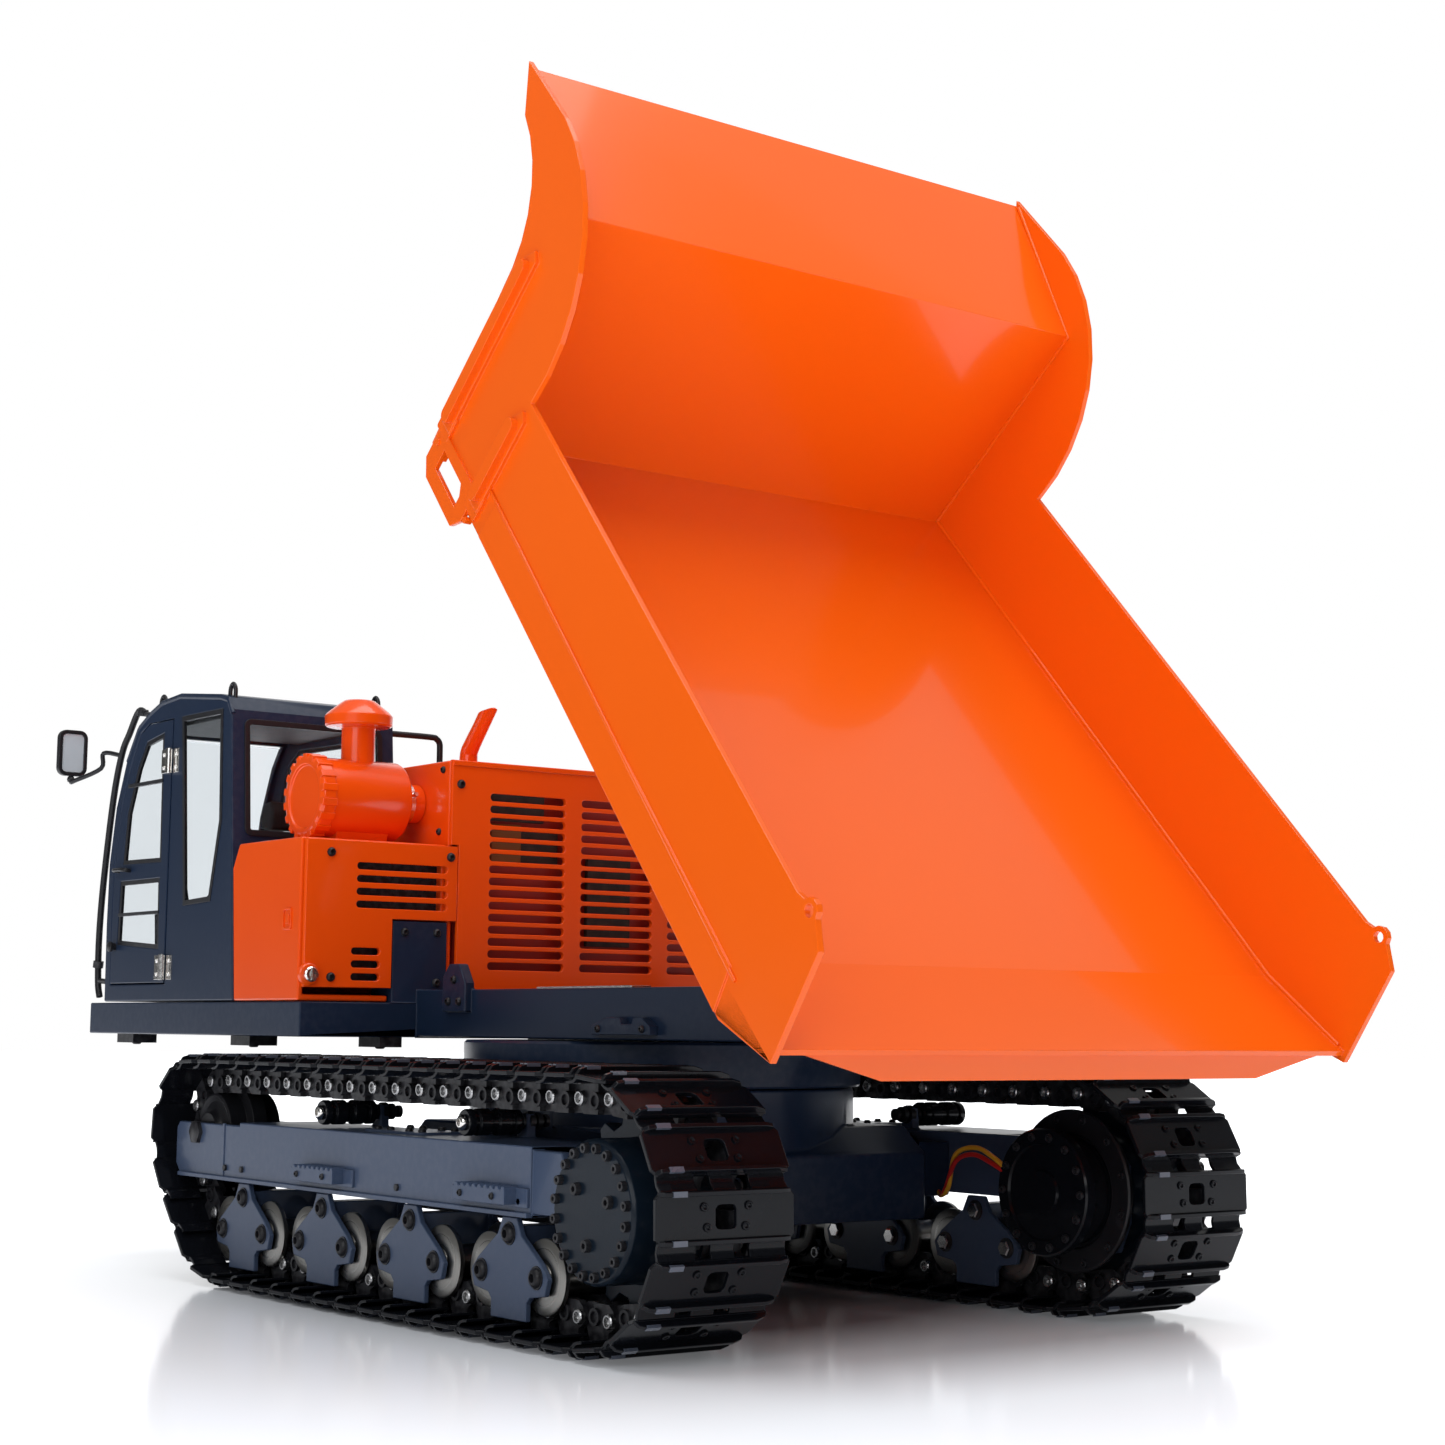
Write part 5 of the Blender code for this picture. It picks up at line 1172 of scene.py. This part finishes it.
def cab():
    softened("cab_shell", "blue_grey", 0.55)
    softened("cab_door", "blue_grey", 0.3)
    dressed("windscreen", "glass")
    upper = at_floor([(-151.4, 94.6), (-166.0, 92.6), (-173.0, 84.0), (-180.6, 68.0), (-183.2, 49.5),
                      (-150.4, 49.0)])
    lower = at_floor([(-151.0, 43.4), (-184.6, 43.4), (-185.8, 20.8), (-150.0, 18.5)])
    pane("door_upper", upper, "X", BODY_X - 0.5, "door")
    pane("door_lower", lower, "X", BODY_X - 0.5, "door")
    bars = [block((BODY_X - 1.0, BODY_X + 0.5), (-180.5, -151.0), (FLOOR + 77.0, FLOOR + 78.4)),
            block((BODY_X - 1.0, BODY_X + 0.5), (-185.0, -150.6), (FLOOR + 30.8, FLOOR + 32.0))]
    handle = smooth_path([(BODY_X, -186.0, FLOOR + 47.2), (BODY_X + 2.4, -186.0, FLOOR + 47.4),
                          (BODY_X + 2.8, -181.0, FLOOR + 47.4),
                          (BODY_X + 2.4, -176.5, FLOOR + 47.2), (BODY_X, -176.5, FLOOR + 47.0)], 5)
    bars.append(pipe(handle, 0.75, 10))
    knob = [(0, 0), (0, 1.3), (1.4, 1.3), (1.8, 1.9), (2.8, 1.9), (3.1, 1.2), (3.1, 0)]
    bars.append(turned(knob, (BODY_X - 0.2, -187.2, FLOOR + 20.0), (1, 0, 0), 18))
    piece("door_fittings", bars, "black", "door", 0.12)
    hinges, fixed = [], []
    for height in (12.0, 84.0):
        z = FLOOR + height
        hinges.append(turned([(-4.4, 0), (-4.4, 1.35), (4.4, 1.35), (4.4, 0)], (98.3, -144.0, z), (0, 0, 1),
                             18))
        hinges.append(block((BODY_X + 0.25, BODY_X + 1.7), (-149.6, -144.4), (z - 4.2, z + 4.2)))
        for shift in (-2.3, 2.3):
            hinges.append(bolt((BODY_X + 1.7, -147.4, z + shift), (1, 0, 0), 0.8, 0.4))
        fixed.append(block((BODY_X - 0.2, BODY_X + 0.5), (-142.4, -138.2), (z - 4.2, z + 4.2)))
        for shift in (-2.3, 2.3):
            fixed.append(bolt((BODY_X + 0.5, -140.2, z + shift), (1, 0, 0), 0.8, 0.5))
    piece("door_hinge_leaves", hinges, "nickel", "door", 0.12)
    piece("cab_hinge_leaves", fixed, "nickel", "upper_structure", 0.1)

    quarter = at_floor([(rear_y(94) - 7, 98.5), (rear_y(60) - 8, 60.8), (rear_y(33) - 17, 34.0),
                        (-131.0, 33.2), (-137.0, 98.8)])
    pane("quarter", quarter, "X", BODY_X - 0.3, "upper_structure")
    cab_right = CAB_LOW.x
    far = at_floor([(rear_y(90) - 9, 93), (rear_y(56) - 9, 56), (-183.0, 56), (-174.3, 88), (-165.0, 94.0)])
    pane("far_side", far, "X", cab_right + 1.1, "upper_structure")
    tilt = math.atan2(REAR_LEAN, REAR_TALL)
    width, height = CAB_HIGH.x - cab_right - 11.4, 37.6
    rear_outline = rounded((-width / 2, -height / 2), (width / 2, height / 2), 1.5)
    lean = Matrix.Translation(((CAB_HIGH.x + cab_right) / 2, rear_y(75.2) - 0.3,
                               FLOOR + 75.2)) @ Matrix.Rotation(tilt, 4, "X")
    glass = moved(prism(rear_outline, "Y", -0.8, 0.0), lean)
    piece("rear_window_glass", glass, "glass", "upper_structure")
    seal = moved(holed(grown(rear_outline, 1.1), grown(rear_outline, -0.9), "Y", -0.2, 0.9), lean)
    piece("rear_window_seal", seal, "black", "upper_structure", 0.15)

    hooks = []
    for x, y, height in ((BODY_X - 3.0, -104.0, 103.0), (cab_right + 4.0, -104.0, 103.0),
                         (BODY_X - 3.0, -160.0, 104.4), (cab_right + 4.0, -160.0, 104.4)):
        z = FLOOR + height
        arch = smooth_path([(x, y - 1.9, z - 1), (x, y - 1.9, z + 2.6), (x, y, z + 4.4),
                            (x, y + 1.9, z + 2.6), (x, y + 1.9, z - 1)], 5)
        hooks.append(pipe(arch, 0.75, 10))
    wiper = smooth_path([(60, -197.4, FLOOR + 12.5), (63, -198.0, FLOOR + 30), (68, -196.8, FLOOR + 54),
                         (72, -194.6, FLOOR + 66)], 4)
    hooks.append(pipe(wiper, 0.6, 8))
    blade = [(69.5, -197.6, FLOOR + 44), (71.5, -196.0, FLOOR + 58), (74.4, -190.8, FLOOR + 74)]
    hooks.append(pipe(smooth_path(blade, 4), 0.8, 8))
    piece("cab_hooks", hooks, "black", "upper_structure")
    roof = at_floor([(-98.4, 98.0), (-101.5, 102.6), (-107.0, 104.0), (-139.6, 107.6), (-155.0, 106.6),
                     (-165.0, 103.6), (-174.6, 99.4), (-183.4, 88.4)])
    gutter = pipe([(BODY_X - 0.6, y, z - 1.4) for y, z in roof], 0.9, 8)
    piece("cab_gutter", gutter, "blue_grey", "upper_structure")
    lining = block((cab_right + 2.4, BODY_X - 2.4), (-165.0, -104.0), (FLOOR + 96.0, FLOOR + 97.5))
    piece("roof_lining", lining, "dark_plastic", "upper_structure", 0.4)


def seat():
    """Moulded seat with bolsters and a head rest, and the controls."""
    low, high = box_mm("seat")
    mid = (low.x + high.x) / 2
    half = (high.x - low.x) / 2
    solids = []
    for x0, x1, swell in ((-half, -half + 6, 2.0), (-half + 6, half - 6, 0.0), (half - 6, half, 2.0)):
        cushion = [(-150, 11), (-152, 15.5 + swell / 2), (-149, 20 + swell), (-138, 19 + swell),
                   (-128, 18 + swell), (-126, 13), (-127, 9.5)]
        back = [(-128.0, 16), (-129.5, 22 + swell), (-124.5, 38), (-121.5, 54), (-118, 57), (-114.5, 55),
                (-116, 38), (-121.0, 12)]
        solids.append(prism([(y, z + low.z) for y, z in cushion], "X", mid + x0, mid + x1))
        solids.append(prism([(y, z + low.z) for y, z in back], "X", mid + x0, mid + x1))
    rest = [(-121.5, 57), (-122.5, 62), (-119.5, 66.5), (-115.0, 66.8), (-113.0, 63), (-114.0, 57)]
    solids.append(prism([(y, z + low.z) for y, z in rest], "X", mid - 7.5, mid + 7.5))
    solids.append(block((mid - 9, mid + 9), (-144, -128), (low.z, low.z + 11)))
    piece("seat_shape", solids, "dark_plastic", "upper_structure", 1.2, ("seat",))
    softened("console", "dark_plastic", 0.5)
    controls = [pipe(smooth_path([(62, -174, low.z), (62, -171, low.z + 20), (62, -167, low.z + 33)], 4), 1.6,
                     12)]
    wheel = []
    for k in range(25):
        angle = 2 * math.pi * k / 24
        wheel.append(Vector((62 + 9.5 * math.cos(angle), -166 + 7.5 * math.sin(angle),
                             low.z + 34.5 + 5.0 * math.sin(angle))))
    controls.append(pipe(wheel, 0.9, 8))
    for angle in (90, 210, 330):
        a = math.radians(angle)
        end = (62 + 9.5 * math.cos(a), -166 + 7.5 * math.sin(a), low.z + 34.5 + 5.0 * math.sin(a))
        controls.append(pipe([(62, -166.6, low.z + 33.5), end], 0.8, 8))
    controls.append(prism([(-181, low.z + 9), (-172, low.z + 9), (-172, low.z + 24), (-176, low.z + 30),
                           (-183, low.z + 30)], "X", 46, 84))
    piece("cab_controls", controls, "black", "upper_structure", 0.15)


# ---- bed and ram --------------------------------------------------------------------------------
def bed_place():
    return Matrix.Translation((0, *HINGE)) @ Matrix.Rotation(-BED_TILT, 4, "X")


def tapered(bm):
    """Widened towards the tail like the bed's sides."""
    for vert in bm.verts:
        vert.co.x *= 1 + BED_TAPER * vert.co.y
    return bm


def bed():
    tub = softened("dump_bed", "orange", 0.2)
    tub.data.shade_flat()
    tub.modifiers["edges"].harden_normals = False
    half = BED_HALF
    solids = []
    for side in (1, -1):
        for start, end, foot, top in ((-191.8, -187.2, 15.0, 72.0), (-160.4, -155.8, 10.5, 39.5)):
            rib = rounded((start, foot), (end, top), 2.2, 5)
            solids.append(tapered(prism(rib, "X", side * (half - 0.3), side * (half + 3.4))))
            pad = rounded((start - 2.4, foot - 5.0), (end + 1.6, foot + 3.5), 0.8, 3)
            solids.append(tapered(prism(pad, "X", side * (half - 0.3), side * (half + 1.0))))
            peg = Vector((side * (half - 1), (start + end) / 2, foot - 7.5))
            solids.append(tapered(turned([(0, 0), (0, 1.1), (2.4, 1.0), (2.4, 0)], peg, (side, 0, 0), 14)))
        bead = [(side * (half + 0.3), -157.0, 17.0), (side * (half + 0.3), 31.0, 15.4)]
        solids.append(tapered(pipe(bead, 0.5, 8)))
        corner = side * (half - 1.8 - 0.1)
        solids.append(tapered(pipe([(corner, -189.0, 10.3), (corner, 19.0, 10.3), (corner, 50.0, 15.4)], 0.7,
                                   8)))
        solids.append(tapered(pipe([(corner, -189.2, 10.3), (corner, -185.2, 91.0), (corner, -236.0, 107.5)],
                                   0.7, 8)))
    piece("bed_beads", moved(joined(solids), bed_place()), "orange", "bed", 0.15)
    under = []
    for y in (-150.0, -100.0, -30.0):
        under.append(block((-94.0, 94.0), (y - 2.0, y + 2.0), (2.0, 8.4)))
    for side in (1, -1):
        under.append(block(sorted((side * 29.5, side * 38.5)), (-179.0, -9.5), (-4.2, -2.9)))
    bm = joined(under)
    piece("bed_cross_bearers", moved(bm, bed_place()), "orange", "bed", 0.3)


def ram():
    dressed("cylinder_barrel", "black")
    dressed("cylinder_rod", "nickel")
    pivot = Vector((0, 144.0, DECK_LOW.z + 7.2))
    eye = bed_place() @ Vector((0, -60.0, -2.0))
    along = (eye - pivot).normalized()
    across = Vector((1, 0, 0))
    collar = [(38.0, 0), (38.0, 8.2), (39.0, 8.4), (43.2, 8.4), (43.2, 4.0), (41, 4.0), (41, 0)]
    solids = [turned([(a, r if r else 3.4) for a, r in collar], pivot, along, 32)]
    for start in (9.0, 36.0):
        spot = pivot + along * start + along.cross(across) * 6.4
        solids.append(turned([(0, 0), (0, 2.2), (2.4, 2.2), (2.4, 0)], spot, along.cross(across), 12))
    piece("ram_fittings", solids, "black", "barrel", 0.1)
    pins = [bolt((side * 10.6, pivot.y, pivot.z), (side, 0, 0), 2.8, 1.4, "hex") for side in (1, -1)]
    piece("ram_foot_pin", pins, "nickel", "upper_structure")


def inside_parts():
    dressed("battery", "dark_plastic")
    dressed("hydraulic_pump", "machined")


# ---- stage --------------------------------------------------------------------------------------
BACKDROP = (-0.6, -0.8, 0.0)  # towards the white wall behind the machine
LIGHT_AIM = (0, 0.05, 0.12)
# Name, place, aim, size, power and colour of each soft light, in metres and watts
LIGHTS = (
    ("overhead", (0.0, 0.3, 1.7), LIGHT_AIM, (1.5, 1.5), 23.0, (1, 1, 1)),
    ("right_box", (-0.95, 0.2, 1.35), (0, 0.1, 0.25), (0.5, 0.7), 0.42, (1, 1, 1)),
    ("left_box", (1.35, 0.95, 0.8), LIGHT_AIM, (1.1, 1.0), 9.6, (0.97, 0.985, 1.0)),
)
EYE = (0.45559, 0.65372, 0.08379)  # the camera's place in metres, low behind the machine's left side
EYE_FORWARD = (-0.5962, -0.7933, 0.1238)
EYE_RIGHT = (-0.7987, 0.6017, 0.0091)
LENS, SENSOR = 60.96, 36.0
FLOOR_DROP = 0.0002  # the stage floor lies this far under the shoes
# The floor glows as though lit, most away from the machine and not at all next to it: painted light, and
# painted shade round the machine.
FLOOR_GLOW = (1.0, 1.02, 1.06)  # the floor's own light, away from the machine


def soft_light(name, place, aim, size, power, colour):
    light = bpy.data.lights.new(name, "AREA")
    light.shape = "RECTANGLE"
    light.size, light.size_y = size
    light.energy = power
    light.color = colour
    lamp = bpy.data.objects.new(name, light)
    bpy.context.scene.collection.objects.link(lamp)
    lamp.location = place
    lamp.rotation_mode = "QUATERNION"
    lamp.rotation_quaternion = (Vector(place) - Vector(aim)).to_track_quat("Z", "Y")


def stage():
    bm = bmesh.new()
    bmesh.ops.create_grid(bm, x_segments=1, y_segments=1, size=6.0)
    mesh = bpy.data.meshes.new("floor")
    bm.to_mesh(mesh)
    bm.free()
    floor = bpy.data.objects.new("floor", mesh)
    bpy.context.scene.collection.objects.link(floor)
    floor.location.z = -FLOOR_DROP
    material, tree, surface = shader("pale_floor", specular_ior_level=0.18, emission_strength=1.0)
    cloud = use(tree, "cloudy", scale=3.0, low=0.2, high=0.8).outputs["Mask"]
    tree.links.new(mixed(tree, cloud, (0.86, 0.89, 0.94), (0.84, 0.87, 0.92)), surface.inputs["Base Color"])
    reach = add(tree, "VectorMath", [(add(tree, "TexCoord").outputs["Object"], 0)],
                operation="LENGTH").outputs["Value"]
    # Glow fades out towards the machine: painted shade round it, painted light farther out.
    glow = mixed(tree, span(tree, reach, 0.10, 0.60), (0.0, 0.0, 0.0), FLOOR_GLOW)
    tree.links.new(glow, surface.inputs["Emission Color"])
    tree.links.new(span(tree, cloud, 0, 1, 0.10, 0.13), surface.inputs["Roughness"])
    mesh.materials.append(material)
    world = bpy.data.worlds.new("studio")
    bpy.context.scene.world = world
    world.use_nodes = True
    tree = world.node_tree
    way = add(tree, "TexCoord").outputs["Generated"]
    height = span(tree, add(tree, "SeparateXYZ", [(way, 0)]).outputs["Z"], 0.02, 0.9, 0.03, 0.34)
    facing = add(tree, "VectorMath", [(way, 0)], operation="DOT_PRODUCT")
    facing.inputs[1].default_value = BACKDROP
    backdrop = span(tree, facing.outputs["Value"], 0.62, 0.86, 0.0, 1.0)
    studio = add(tree, "Math", [(height, 0), (backdrop, 1)], operation="MAXIMUM")
    seen = add(tree, "Math", [(studio.outputs[0], 0), (add(tree, "LightPath").outputs["Is Camera Ray"], 1)],
               operation="MAXIMUM")
    tree.links.new(seen.outputs[0], tree.nodes["Background"].inputs["Strength"])
    tree.nodes["Background"].inputs["Color"].default_value = (1.0, 1.0, 1.0, 1)
    for row in LIGHTS:
        soft_light(*row)


def camera():
    data = bpy.data.cameras.new("camera")
    data.lens, data.sensor_width = LENS, SENSOR
    data.clip_start, data.clip_end = 0.01, 50.0
    eye = bpy.data.objects.new("camera", data)
    bpy.context.scene.collection.objects.link(eye)
    look = Vector(EYE_FORWARD).normalized()
    right = Vector(EYE_RIGHT)
    right = (right - look * right.dot(look)).normalized()
    up = right.cross(look)
    turn = Matrix((right, up, -look)).transposed().to_4x4()
    eye.matrix_world = Matrix.Translation(EYE) @ turn
    bpy.context.scene.camera = eye


tracks()
rollers()
carrier_ends()
drives()
bogies()
track_frames()
car_body()
deck()
covers()
air_cleaner()
pipework()
mirror()
cab()
seat()
bed()
ram()
inside_parts()
stage()
camera()
bpy.context.scene.view_settings.view_transform = "Standard"
